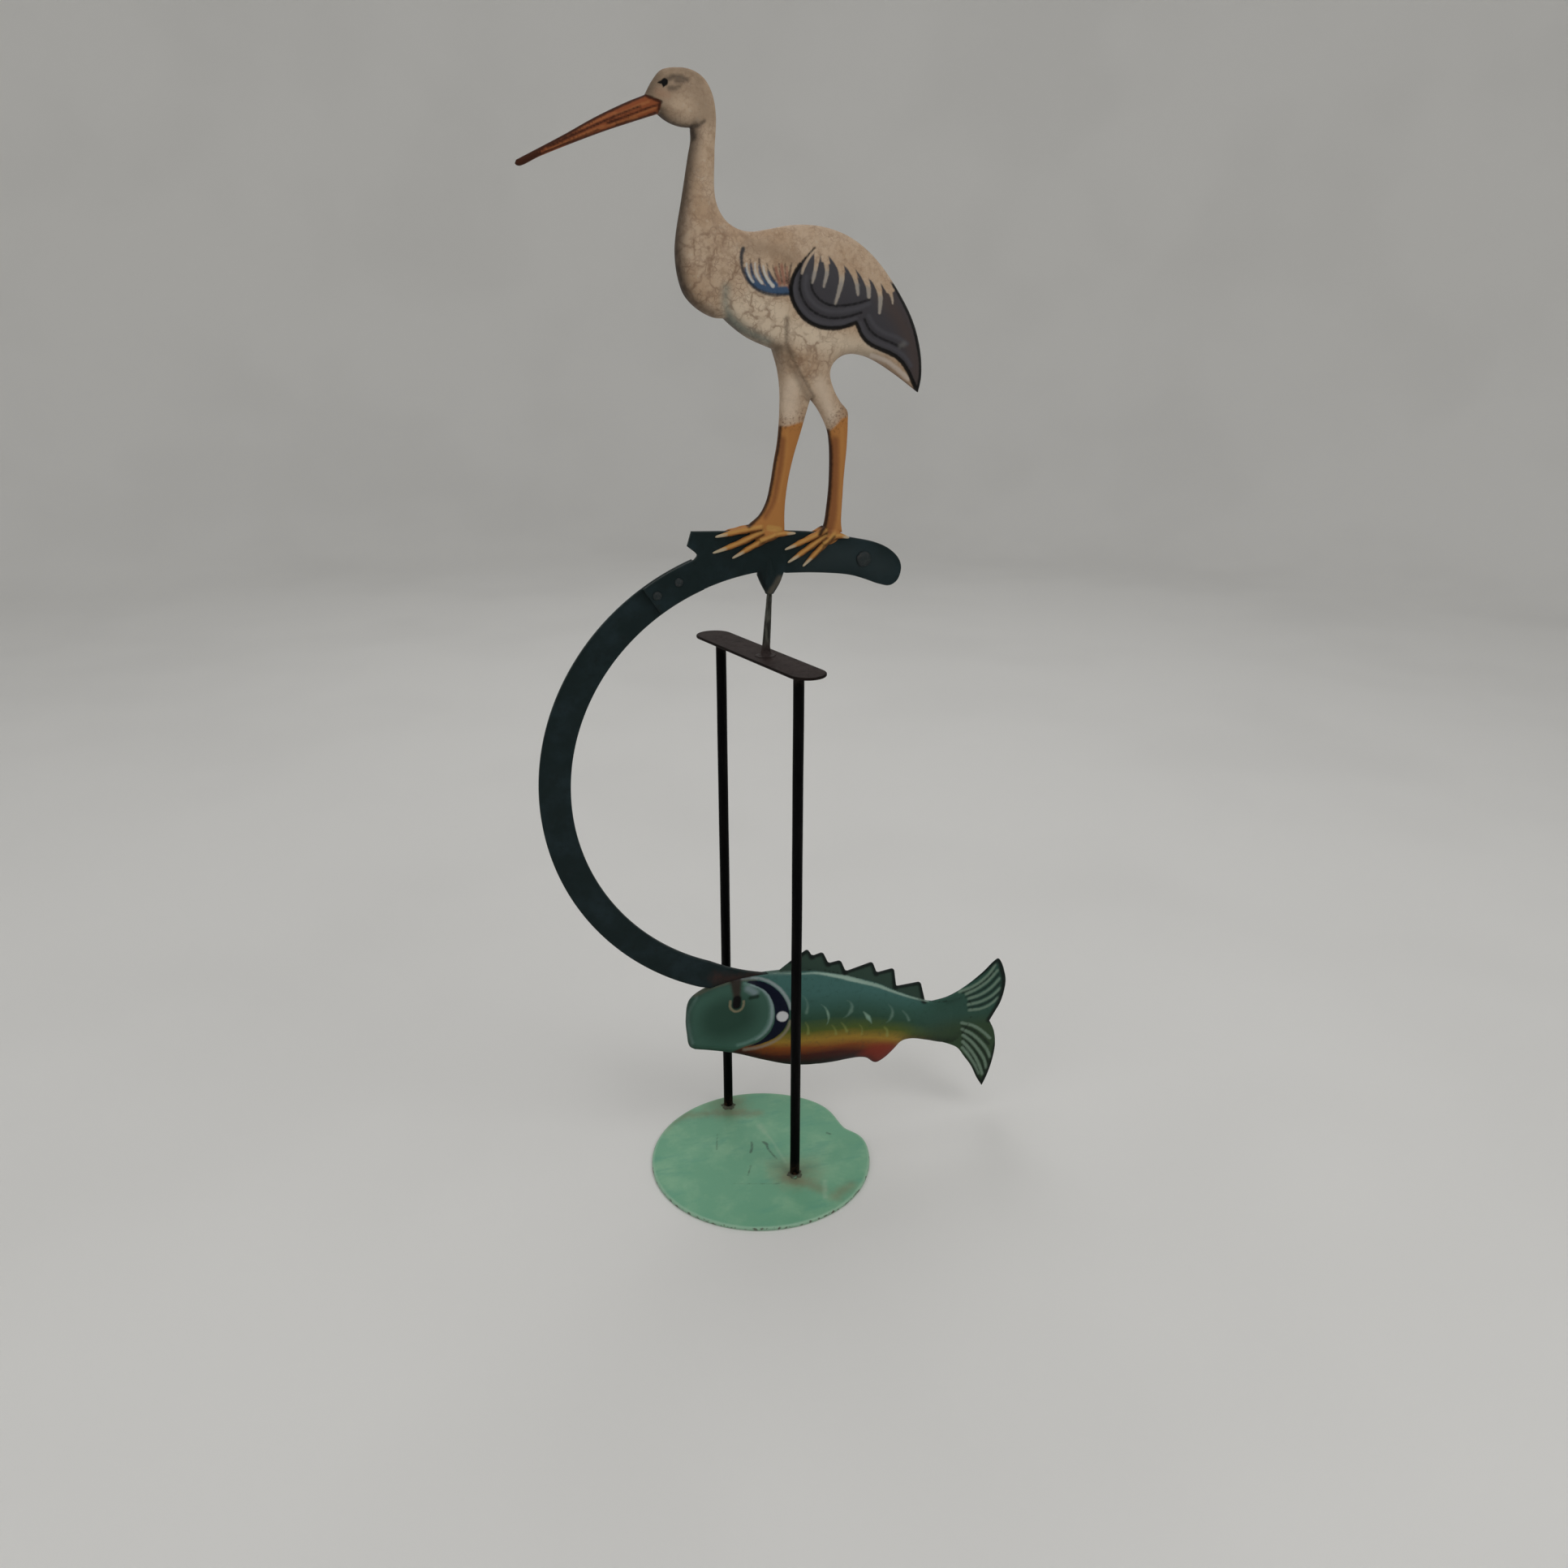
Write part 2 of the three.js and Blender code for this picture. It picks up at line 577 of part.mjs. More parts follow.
const stand = new THREE.Group();
stand.position.set(...ROD_MIDDLE, 0);
stand.rotation.z = STAND_TURN + Math.PI / 2;
root.add(stand);
addPiece(stand, 'rod_back', rodGeometry(), PAINT.rod, [ROD_SPACING / 2, 0, 0]);
addPiece(stand, 'rod_front', rodGeometry(), PAINT.rod, [-ROD_SPACING / 2, 0, 0]);
addPiece(stand, 'rest_plate', restGeometry(), PAINT.iron);

const PIVOT = [
  ROD_MIDDLE[0] + SPIKE_FROM_MIDDLE * Math.sin(STAND_TURN),
  ROD_MIDDLE[1] - SPIKE_FROM_MIDDLE * Math.cos(STAND_TURN),
];
addPiece(root, 'pivot_spike', spikeGeometry(), PAINT.steel, [...PIVOT, REST_TOP + GAP]);

// In the figure's groups x and y are the figure's plane and z faces the viewer.
const armBehind = SHEET + GAP;
const perchPlane = new THREE.Group();
perchPlane.position.set(...PIVOT, 0);
perchPlane.rotation.x = Math.PI / 2;
root.add(perchPlane);
const armPlane = new THREE.Group();
armPlane.position.set(0, 0, -armBehind);
perchPlane.add(armPlane);

const perchRivet = {
  name: 'perch_rivet', at: PERCH_RIVET, head: 3.6, dome: 1.3, shank: 1.6, front: SHEET / 2, back: -SHEET / 2,
};
const lapRivets = Object.entries(LAP_RIVETS).map(([place, [radius, degrees]]) => ({
  name: `lap_rivet_${place}`,
  at: polar(ARM_CENTRE, radius, degrees).toArray(),
  head: 2.4,
  dome: 0.9,
  shank: 1.1,
  front: SHEET / 2,
  back: -SHEET / 2 - armBehind,
}));
addPiece(perchPlane, 'perch', perchGeometry([perchRivet, ...lapRivets]), PAINT.green);
for (const rivet of [perchRivet, ...lapRivets]) {
  addPiece(perchPlane, rivet.name, rivetGeometry(rivet), PAINT.green, [...rivet.at, 0]);
}
addPiece(perchPlane, 'bird', birdGeometry(), PAINT.cream);
addPiece(armPlane, 'arm', armGeometry(lapRivets), PAINT.green);
addPiece(armPlane, 'fish', fishGeometry(), PAINT.fish);

export default root;
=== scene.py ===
"""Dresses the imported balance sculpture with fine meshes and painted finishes.

Outlines and strokes are in millimetres in the figure's own plane, with x from the
spike's axis and z up from the table, and become metres where a mesh is made.
"""

import math
from itertools import pairwise

import bpy
import numpy as np
from mathutils import Matrix, Vector
from mathutils.geometry import delaunay_2d_cdt


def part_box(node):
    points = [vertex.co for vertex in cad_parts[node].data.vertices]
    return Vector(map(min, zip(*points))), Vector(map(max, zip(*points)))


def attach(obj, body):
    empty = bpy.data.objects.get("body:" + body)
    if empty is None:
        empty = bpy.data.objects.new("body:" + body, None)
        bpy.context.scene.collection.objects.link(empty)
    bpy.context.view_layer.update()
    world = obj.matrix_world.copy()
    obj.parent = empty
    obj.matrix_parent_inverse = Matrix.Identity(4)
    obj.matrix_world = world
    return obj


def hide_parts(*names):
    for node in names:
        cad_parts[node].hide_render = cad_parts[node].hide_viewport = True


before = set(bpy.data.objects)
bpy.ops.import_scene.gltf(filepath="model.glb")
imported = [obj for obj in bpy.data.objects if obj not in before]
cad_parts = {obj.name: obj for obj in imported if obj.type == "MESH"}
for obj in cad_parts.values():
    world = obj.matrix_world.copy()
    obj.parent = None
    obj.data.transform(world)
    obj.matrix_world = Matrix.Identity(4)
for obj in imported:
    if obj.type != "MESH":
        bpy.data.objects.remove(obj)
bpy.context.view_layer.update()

bl_info = {
    "name": "Balance Sculpture",
    "version": (1, 0, 0),
    "blender": (4, 5, 0),
    "location": "View3D > Sidebar > Sculpture",
    "description": "Builds the painted pieces of a bird and fish balance sculpture",
    "category": "Object",
}

MM = 0.001

# Stand: the rods' middle, the turn of their line from the figure's plane, and the spike's axis
STAND_TURN = math.radians(17.8)
ROD_MIDDLE = (3.5, 16.6)
SPIKE_FROM_MIDDLE = 8.3
PIVOT = (
    ROD_MIDDLE[0] + SPIKE_FROM_MIDDLE * math.sin(STAND_TURN),
    ROD_MIDDLE[1] - SPIKE_FROM_MIDDLE * math.cos(STAND_TURN),
)
LUG_TIP = (2.3, 374.0)

# The arm's circle and where the arm runs on it, in degrees
ARM_CENTRE = (11.9, 261.2)
ARM_LAP_END = 111.5
ARM_SEAM = 124.0
ARM_FISH_MEETS = 248.0
ARM_TIP = 266.0
ARM_TIP_RADII = (136.8, 130.0)
PERCH_INNER = 126.2
PERCH_RIVET = (56.3, 391.2)
LAP_RIVETS = {"upper": (136.0, 116.4), "lower": (136.0, 122.2)}

# Half thickness of a stamped body's rim
RIM = 0.6

# Gap that pieces keep where they touch
GAP = 0.3

# Points nearer to an outline than this lie on its rim
ON_RIM = 0.12

# Steps along a painted stroke and along a cut plate's edge
STROKE_STEP = 1.2
PLATE_STEP = 1.5

# Insets of the rings of points that round a stamped body's rim and a slot's rim
BODY_RINGS = [0.25, 0.65, 1.15]
SLOT_RINGS = [0.05, 0.3]
SLOT_EDGE = 0.05
SLOT_CELL = 3

# The film under a stamped body: how often and how strongly it is relaxed, and its hem
FILM_SWEEPS = 420
FILM_RELAX = 1.93
FILM_HEM = 1.2

# How far up from the belly the fish's blend of colours runs
BLEND_REACH = 60

# Where the front view is taken from: along and above the figure, and how far before it
EYE = (-157.0, 510.0)
EYE_AWAY = 627.0


# Lines and outlines


def spline(points, spacing):
    """A centripetal spline through the points, cut into even steps."""
    p = np.array(points, float)
    p = np.vstack([2 * p[0] - p[1], p, 2 * p[-1] - p[-2]])
    s = np.linspace(0, 1, 24, endpoint=False)[:, None]
    line = []
    for a, b, c, d in zip(p, p[1:], p[2:], p[3:]):
        before, along, after = (
            max(np.linalg.norm(v - u) ** 0.5, 1e-4) for u, v in ((a, b), (b, c), (c, d))
        )
        leave = ((b - a) / before - (c - a) / (before + along) + (c - b) / along) * along
        arrive = ((c - b) / along - (d - b) / (along + after) + (d - c) / after) * along
        line.append(
            (2 * s**3 - 3 * s**2 + 1) * b
            + (s**3 - 2 * s**2 + s) * leave
            + (3 * s**2 - 2 * s**3) * c
            + (s**3 - s**2) * arrive
        )
    return even_steps(np.vstack([*line, p[-2:-1]]), spacing)


def even_steps(line, spacing):
    run = np.r_[0, np.cumsum(np.linalg.norm(np.diff(line, axis=0), axis=1))]
    count = max(1, round(run[-1] / spacing))
    at = np.linspace(0, run[-1], count + 1)
    return np.column_stack([np.interp(at, run, column) for column in line.T])


def straight(start, end):
    """Even steps between two points of a plate's edge, without the points."""
    return even_steps(np.array([start, end]), PLATE_STEP)[1:-1]


def halfway(one, two):
    """The line in the middle between two lines with as many points each."""
    return [tuple((p + q) / 2 for p, q in zip(a, b)) for a, b in zip(one, two)]


def closed(stretches, spacing):
    """An outline of smooth stretches that join at corners."""
    return np.vstack([spline(stretch, spacing)[:-1] for stretch in stretches])


def on_circle(centre, radius, degrees):
    angle = np.radians(degrees)
    return np.column_stack(
        [centre[0] + radius * np.cos(angle), centre[1] + radius * np.sin(angle)]
    )


def arc(centre, radius, start, end, spacing):
    count = max(2, round(abs(math.radians(end - start)) * radius / spacing))
    return on_circle(centre, radius, np.linspace(start, end, count + 1))


def nearest(points, line, closed_line=False):
    """Distance from each point to a line, where along it that is (0 to 1), and the foot."""
    ends = np.vstack([line, line[:1]]) if closed_line else line
    best = np.full(len(points), np.inf)
    along = np.zeros(len(points))
    foot = np.zeros((len(points), 2))
    steps = len(ends) - 1
    for i, (a, b) in enumerate(pairwise(ends)):
        side = b - a
        share = np.clip((points - a) @ side / max(side @ side, 1e-12), 0, 1)
        at = a + share[:, None] * side
        away = np.hypot(*(points - at).T)
        closer = away < best
        best[closer] = away[closer]
        along[closer] = (i + share[closer]) / steps
        foot[closer] = at[closer]
    return best, along, foot


def within(points, outline):
    inside = np.zeros(len(points), bool)
    x, z = points.T
    for a, b in pairwise(np.vstack([outline[-1:], outline])):
        crosses = (a[1] > z) != (b[1] > z)
        rise = b[1] - a[1] or 1e-12
        inside ^= crosses & (x < (b[0] - a[0]) * (z - a[1]) / rise + a[0])
    return inside


def depth_in(points, outline):
    """Distance to the outline, positive inside it."""
    away = nearest(points, outline, closed_line=True)[0]
    return np.where(within(points, outline), away, -away)


def as_seen(points, depth):
    """Where the front view shows points of that depth on the figure's middle plane. Strokes
    are drawn in that plane, so this lays them on a raised surface as the eye meets them."""
    return points + (points - EYE) * (depth / (EYE_AWAY - depth))[:, None]


# Relief


def eased(share):
    """A share from 0 to 1 that starts and ends gently."""
    return share * share * (3 - 2 * share)


class Film:
    """How far a sheet clamped along an outline bulges, as a soap film does."""

    def __init__(self, outline, cell):
        self.cell = cell
        self.low = outline.min(0) - 2 * cell
        self.shape = tuple(
            int(n) for n in np.ceil((outline.max(0) + 2 * cell - self.low) / cell) + 1
        )
        i, j = np.meshgrid(*(np.arange(n) for n in self.shape), indexing="ij")
        grid = np.column_stack([i.ravel(), j.ravel()]) * cell + self.low
        inside = within(grid, outline).reshape(self.shape)
        inside[[0, -1], :] = inside[:, [0, -1]] = False
        colours = [inside & ((i + j) % 2 == k) for k in (0, 1)]
        film = np.zeros(self.shape)
        for _ in range(FILM_SWEEPS):
            for colour in colours:
                around = np.zeros(self.shape)
                around[1:-1, 1:-1] = (
                    film[2:, 1:-1] + film[:-2, 1:-1] + film[1:-1, 2:] + film[1:-1, :-2]
                )
                film += np.where(colour, FILM_RELAX * ((around + cell**2) / 4 - film), 0)
        self.film = film

    def bulge(self, points):
        u, v = np.clip(
            (points - self.low).T / self.cell,
            0,
            np.array(self.shape)[:, None] - 1.001,
        )
        i, j = u.astype(int), v.astype(int)
        u, v = u - i, v - j
        film = self.film
        mixed = (
            film[i, j] * (1 - u) * (1 - v)
            + film[i + 1, j] * u * (1 - v)
            + film[i, j + 1] * (1 - u) * v
            + film[i + 1, j + 1] * u * v
        )
        return np.sqrt(2 * mixed)


def puff(outline, gain, power, cell):
    """Half thickness over a stamped body. In the hem along the rim it follows the true
    distance to the outline, which keeps the film's grid out of sight."""
    film = Film(outline, cell)

    def half_thickness(points, away, foot):
        inward = (points - foot) / np.maximum(away, 1e-6)[:, None]
        near = away < FILM_HEM
        probe = np.where(near[:, None], foot + inward * FILM_HEM, points)
        share = np.where(near, np.sqrt(np.clip(away / FILM_HEM, 0, 1)), 1)
        return RIM + gain * (film.bulge(probe) * share) ** power

    return half_thickness


def rounded(half, radius):
    """Half thickness of a flat plate with rounded edges."""

    def half_thickness(points, away, foot):
        left = np.clip(radius - away, 0, radius)
        return half - radius + np.sqrt(radius**2 - left**2)

    return half_thickness


def groove(points, line, width, depth, fade=True):
    """How deep a soft groove along a line is, or how high a ridge."""
    away, along, _ = nearest(points, line)
    ends = np.sin(np.pi * np.clip(along, 0.02, 0.98)) ** 0.5 if fade else 1
    return depth * np.exp(-((away / width) ** 2)) * ends


# Meshes


def smooth(piece):
    piece.data.polygons.foreach_set("use_smooth", [True] * len(piece.data.polygons))


def add_object(name, positions, faces):
    mesh = bpy.data.meshes.new(name)
    mesh.from_pydata(np.asarray(positions, float).tolist(), [], faces)
    mesh.validate()
    mesh.update()
    made = bpy.data.objects.new(name, mesh)
    smooth(made)
    bpy.context.scene.collection.objects.link(made)
    return made


def inward_at(outline):
    """The inward direction at each point of an outline."""
    after = np.roll(outline, -1, axis=0)
    before = np.roll(outline, 1, axis=0)
    along = after - before
    along /= np.maximum(np.hypot(*along.T), 1e-9)[:, None]
    inward = np.column_stack([-along[:, 1], along[:, 0]])
    area = np.sum(outline[:, 0] * after[:, 1] - after[:, 0] * outline[:, 1])
    return -inward if area < 0 else inward


def rings_inside(outline, insets):
    inward = inward_at(outline)
    rings = []
    for inset in insets:
        ring = outline + inward * inset
        rings.append(ring[depth_in(ring, outline) > 0.86 * inset])
    return rings


def sheet(name, outline, half_thickness, cell, insets):
    """A body with the same relief on both faces. x and z are the outline's, y is depth."""
    low, high = outline.min(0), outline.max(0)
    row = cell * math.sin(math.pi / 3)
    rows = np.arange(low[1], high[1], row)
    grid = np.vstack(
        [
            np.column_stack([xs, np.full(len(xs), z)])
            for k, z in enumerate(rows)
            for xs in [np.arange(low[0] - (k % 2) * cell / 2, high[0], cell)]
        ]
    )
    clear = insets[-1] + 0.45 * cell
    grid = grid[depth_in(grid, outline) > clear]
    flat = np.vstack([outline, *rings_inside(outline, insets), grid])
    count = len(outline)
    spots, _, faces, origins, _, _ = delaunay_2d_cdt(
        [Vector(p) for p in flat], [], [list(range(count))], 1, 1e-5
    )
    spots = np.array([tuple(p) for p in spots])
    corners = np.array(faces)
    a, b, c = (spots[corners[:, k]] for k in range(3))
    turn = np.cross(b - a, c - a)
    corners = np.where((turn < 0)[:, None], corners[:, ::-1], corners)[abs(turn) > 1e-9]
    on_rim = np.array([any(k < count for k in origin) for origin in origins])
    away, _, foot = nearest(spots, outline, closed_line=True)
    away[on_rim] = 0
    half = half_thickness(spots, away, foot)
    sides = np.vstack([corners[:, [0, 1]], corners[:, [1, 2]], corners[:, [2, 0]]])
    forward = {tuple(side) for side in sides.tolist()}
    open_sides = [side for side in forward if side[::-1] not in forward]
    total = len(spots)
    positions = np.vstack(
        [
            np.column_stack([spots[:, 0], -half, spots[:, 1]]),
            np.column_stack([spots[:, 0], half, spots[:, 1]]),
        ]
    )
    built = corners.tolist()
    built += (corners[:, ::-1] + total).tolist()
    built += [[j, i, i + total, j + total] for i, j in open_sides]
    return add_object(name, positions, built)


def tube_faces(rings, segments, inward=False):
    """Faces between rings of points and over both ends. Rings run upwards with their
    points anticlockwise, and inward turns the faces over."""
    faces = []
    for ring in range(rings - 1):
        for k in range(segments):
            a, b = ring * segments + k, ring * segments + (k + 1) % segments
            quad = [a, b, b + segments, a + segments]
            faces.append([a, *quad[:0:-1]] if inward else quad)
    first = list(range(segments))
    last = [(rings - 1) * segments + k for k in first]
    return faces + ([first, last[::-1]] if inward else [first[::-1], last])


def lathe(name, profile, segments=48, wobble=None):
    """A turned solid about z from (radius, height) pairs, closed at both ends."""
    angles = np.linspace(0, 2 * math.pi, segments, endpoint=False)
    positions = []
    for radius, height in profile:
        for angle in angles:
            r = radius + (wobble(angle, height) if wobble else 0)
            positions.append((r * math.cos(angle), r * math.sin(angle), height))
    return add_object(name, positions, tube_faces(len(profile), segments))


def place(piece, matrix):
    """Turns a piece made in millimetres into metres where the matrix puts it."""
    piece.data.transform(Matrix.Scale(MM, 4) @ matrix)
    piece.data.update()
    return piece


FIGURE = Matrix.Translation((*PIVOT, 0))
LAY_FLAT = Matrix.Rotation(-math.pi / 2, 4, "X")
ARM_BEHIND = 3.3
ARM_FRAME = Matrix.Translation((PIVOT[0], PIVOT[1] + ARM_BEHIND, 0))
STAND_FRAME = Matrix.Translation((*ROD_MIDDLE, 0)) @ Matrix.Rotation(
    STAND_TURN + math.pi / 2, 4, "Z"
)


def combine(piece, other, operation):
    """Joins or cuts piece with other, which is used up."""
    cut = piece.modifiers.new("combine", "BOOLEAN")
    cut.operation = operation
    cut.solver = "MANIFOLD"
    cut.object = other
    depsgraph = bpy.context.evaluated_depsgraph_get()
    mesh = bpy.data.meshes.new_from_object(piece.evaluated_get(depsgraph))
    piece.modifiers.clear()
    if not mesh.polygons:
        raise RuntimeError(f"nothing is left of {piece.name}")
    piece.data = mesh
    bpy.data.objects.remove(other)


def write_layer(piece, name, values):
    layer = piece.data.attributes.new(name, "FLOAT", "POINT")
    layer.data.foreach_set("value", np.asarray(values, np.float32))


def flat_points(piece):
    """Where a piece's points lie in the figure's plane, in millimetres."""
    count = len(piece.data.vertices)
    at = np.zeros(count * 3, np.float32)
    piece.data.vertices.foreach_get("co", at)
    at = at.reshape(-1, 3).astype(float)
    return at[:, [0, 2]] / MM - [PIVOT[0], 0], at[:, 1] / MM


def stroke_depth(points, strokes):
    """How far inside a set of strokes each point is, in millimetres.
    A stroke is (points, width at its start, width at its end) or a closed area."""
    best = np.full(len(points), -6.0)
    for stroke in strokes:
        if isinstance(stroke, tuple):
            line, start, end = stroke
            line = spline(line, STROKE_STEP) if len(line) > 2 else np.array(line, float)
            away, along, _ = nearest(points, line)
            best = np.maximum(best, (start + (end - start) * along) / 2 - away)
        else:
            area = spline([*stroke, stroke[0]], STROKE_STEP)[:-1]
            best = np.maximum(best, depth_in(points, area))
    return best


def write_strokes(piece, points, tables):
    for name, strokes in tables.items():
        write_layer(piece, name, stroke_depth(points, strokes))


# Materials


def linear(hex_colour):
    """A #rrggbb screen colour as linear light."""
    parts = [int(hex_colour[i : i + 2], 16) / 255 for i in (1, 3, 5)]
    return tuple(
        p / 12.92 if p <= 0.04045 else ((p + 0.055) / 1.055) ** 2.4 for p in parts
    )


class Value:
    """A shader socket that takes part in Python expressions."""

    def __init__(self, paint, socket):
        self.paint = paint
        self.socket = socket

    def maths(self, operation, *values, clamp=False):
        settings = {"operation": operation, "use_clamp": clamp}
        inputs = dict(enumerate(values))
        return self.paint.node("Math", settings, inputs)

    def __add__(self, other):
        return self.maths("ADD", self, other)

    __radd__ = __add__

    def __sub__(self, other):
        return self.maths("SUBTRACT", self, other)

    def __rsub__(self, other):
        return self.maths("SUBTRACT", other, self)

    def __mul__(self, other):
        return self.maths("MULTIPLY", self, other)

    __rmul__ = __mul__

    def __truediv__(self, other):
        return self.maths("DIVIDE", self, other)

    def clamped(self):
        return self.maths("ADD", self, 0, clamp=True)

    def at_least(self, other):
        return self.maths("MAXIMUM", self, other)

    def step(self, low, high):
        """0 below low, 1 above high, and smooth between."""
        settings = {"interpolation_type": "SMOOTHSTEP"}
        inputs = {"Value": self, "From Min": low, "From Max": high}
        return self.paint.node("MapRange", settings, inputs)


class Paint:
    """One material. Places are in millimetres in the part's own frame."""

    def __init__(self, name):
        self.material = bpy.data.materials.new(name)
        self.material.use_nodes = True
        self.tree = self.material.node_tree
        self.shader = self.tree.nodes["Principled BSDF"]
        place_mm = {0: self.node("TexCoord", output="Object"), "Scale": 1 / MM}
        self.place = self.node("VectorMath", {"operation": "SCALE"}, place_mm)
        parts = self.node("SeparateXYZ", inputs={0: self.place}, output=None)
        self.x, self.y, self.z = (Value(self, s) for s in parts.outputs)

    def node(self, kind, settings=None, inputs=None, output=0):
        node = self.tree.nodes.new("ShaderNode" + kind)
        for name, value in (settings or {}).items():
            if name == "stops":
                ramp = node.color_ramp
                while len(ramp.elements) < len(value):
                    ramp.elements.new(0.5)
                for element, (position, colour) in zip(ramp.elements, value):
                    element.position = position
                    element.color = (*colour, 1)
            else:
                setattr(node, name, value)
        for name, value in (inputs or {}).items():
            self.feed(node.inputs[name], value)
        return node if output is None else Value(self, node.outputs[output])

    def feed(self, socket, value):
        if isinstance(value, Value):
            self.tree.links.new(value.socket, socket)
        elif socket.type == "RGBA" and len(value) == 3:
            socket.default_value = (*value, 1)
        else:
            socket.default_value = value

    def blend(self, under, over, factor):
        inputs = {0: factor, 6: under, 7: over}
        return self.node("Mix", {"data_type": "RGBA"}, inputs, output=2)

    def tinted(self, colour, tint, factor):
        settings = {"data_type": "RGBA", "blend_type": "MULTIPLY"}
        return self.node("Mix", settings, {0: factor, 6: colour, 7: tint}, output=2)

    def stretched(self, factors):
        """The place, drawn out along some axes, for brush marks and runs."""
        settings = {"operation": "MULTIPLY"}
        return self.node("VectorMath", settings, {0: self.place, 1: factors})

    def noise(self, size, detail=4, roughness=0.55, vector=None):
        """Cloudy noise about 0.5, with features of that size in millimetres."""
        inputs = {
            "Vector": vector or self.place,
            "Scale": 1 / size,
            "Detail": detail,
            "Roughness": roughness,
        }
        return self.node("TexNoise", inputs=inputs)

    def warped(self, size, reach):
        """The place, pushed about by noise, so that a pattern loses its ruled look."""
        inputs = {"Vector": self.place, "Scale": 1 / size, "Detail": 2}
        push = self.node("TexNoise", inputs=inputs, output="Color")
        centred = {0: push, 1: (0.5, 0.5, 0.5)}
        push = self.node("VectorMath", {"operation": "SUBTRACT"}, centred)
        scaled = {0: push, "Scale": reach}
        push = self.node("VectorMath", {"operation": "SCALE"}, scaled)
        return self.node("VectorMath", {"operation": "ADD"}, {0: self.place, 1: push})

    def cracks(self, size, vector):
        """Distance from the nearest crack of a crazed surface, in cells."""
        inputs = {"Vector": vector, "Scale": 1 / size, "Randomness": 1.0}
        settings = {"feature": "DISTANCE_TO_EDGE"}
        return self.node("TexVoronoi", settings, inputs, output="Distance")

    def layer(self, name):
        """A painted layer of the mesh: millimetres inside its strokes."""
        return self.node("Attribute", {"attribute_name": name}, output="Fac")

    def finish(self, colour, roughness, height=None, relief=0.1, metallic=0.0, **fixed):
        """Joins the shader. height is in millimetres of relief."""
        self.feed(self.shader.inputs["Base Color"], colour)
        self.feed(self.shader.inputs["Roughness"], roughness)
        self.feed(self.shader.inputs["Metallic"], metallic)
        for name, value in fixed.items():
            self.feed(self.shader.inputs[name.replace("_", " ")], value)
        if height is not None:
            inputs = {"Height": height, "Distance": MM, "Strength": relief}
            bump = self.node("Bump", inputs=inputs, output="Normal")
            self.feed(self.shader.inputs["Normal"], bump)
        return self.material


def dress(piece, material, slot, *nodes):
    """Gives a piece its material and its place in the frame."""
    piece.data.materials.clear()
    piece.data.materials.append(material)
    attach(piece, "root")
    if nodes:
        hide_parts(*nodes)


# Finishes


def pad_paint(colours):
    """Worn mint green paint with paler patches, rust at the rods' feet, brown stains with painted
    shadows of the rods, a painted highlight along the rim and painted shade on the side.
    """
    paint = Paint("mint_green_paint")
    broad = paint.noise(26, 5, 0.6)
    fine = paint.noise(5, 5, 0.65)
    brushed = paint.noise(9, 4, 0.6, paint.stretched((0.35, 1.2, 1)))
    green = paint.blend(colours.pad_green, colours.pad_pale, broad.step(0.42, 0.68))
    green = paint.blend(green, colours.pad_deep, brushed.step(0.5, 0.72) * 0.55)
    green = paint.blend(green, colours.pad_pale, fine.step(0.6, 0.72) * 0.45)
    foot = paint.layer("foot")
    stain = (foot + (fine - 0.5) * 9 + (broad - 0.5) * 22).step(-20, 3)
    green = paint.blend(green, linear("#857a5e"), stain * 0.55)
    # Brown stains, with painted shadows of the rods in the bands that run out from their feet
    stain_and_shadow = (paint.layer("stains") + (fine - 0.5) * 6).step(-6, 3)
    green = paint.blend(green, linear("#83795c"), stain_and_shadow * 0.5)
    heart = (foot + (fine - 0.5) * 4).step(-2.4, 0.6)
    green = paint.blend(green, linear("#5d4633"), heart * 0.75)
    edge = paint.layer("edge")
    # Painted highlight: a pale band along the rounded top of the rim
    rim = 1 - (edge + (fine - 0.5) * 1.6).step(0.3, 2.2)
    green = paint.blend(green, linear("#a1c4aa"), rim * 0.65)
    # The side turned dark brown-grey: chipped paint, with painted shade on the side
    chips_and_side_shade = (edge + (paint.noise(3, 3) - 0.5) * 3).step(-0.5, 0.1)
    green = paint.blend(linear("#4f4c3d"), green, chips_and_side_shade)
    scratches = paint.layer("scratches") + (fine - 0.5) * 1.2
    green = paint.blend(green, linear("#33483c"), scratches.step(-0.5, 0.8) * 0.7)
    pale = paint.layer("scuffs") + (fine - 0.5) * 2.4
    green = paint.blend(green, linear("#a3c3a4"), pale.step(-1.5, 2) * (0.2 + fine * 0.6))
    height = fine * 0.16 + paint.noise(1.4, 3) * 0.05 - scratches.step(-0.2, 0.3) * 0.1
    rough = 0.42 + fine * 0.25 + stain * 0.15
    return paint.finish(green, rough, height, 0.6)


def rod_paint(colours):
    """Satin black on round bar, rubbed through a little at the foot and at the weld."""
    paint = Paint("satin_black_paint")
    fine = paint.noise(2.2, 4, 0.6)
    runs = paint.noise(6, 4, 0.6, paint.stretched((1, 1, 0.12)))
    black = paint.blend(colours.rod_black, linear("#0a0909"), runs.step(0.45, 0.7))
    low = 1 - (paint.z + (fine - 0.5) * 14).step(6, 16)
    black = paint.blend(black, linear("#3b2a1f"), low * fine.step(0.4, 0.62) * 0.8)
    high = (paint.z + (fine - 0.5) * 12).step(329, 336)
    black = paint.blend(black, linear("#2c2623"), high * 0.7)
    height = runs * 0.2 + fine * 0.08
    return paint.finish(black, 0.36 + fine * 0.24, height, 0.5, Specular_IOR_Level=0.05)


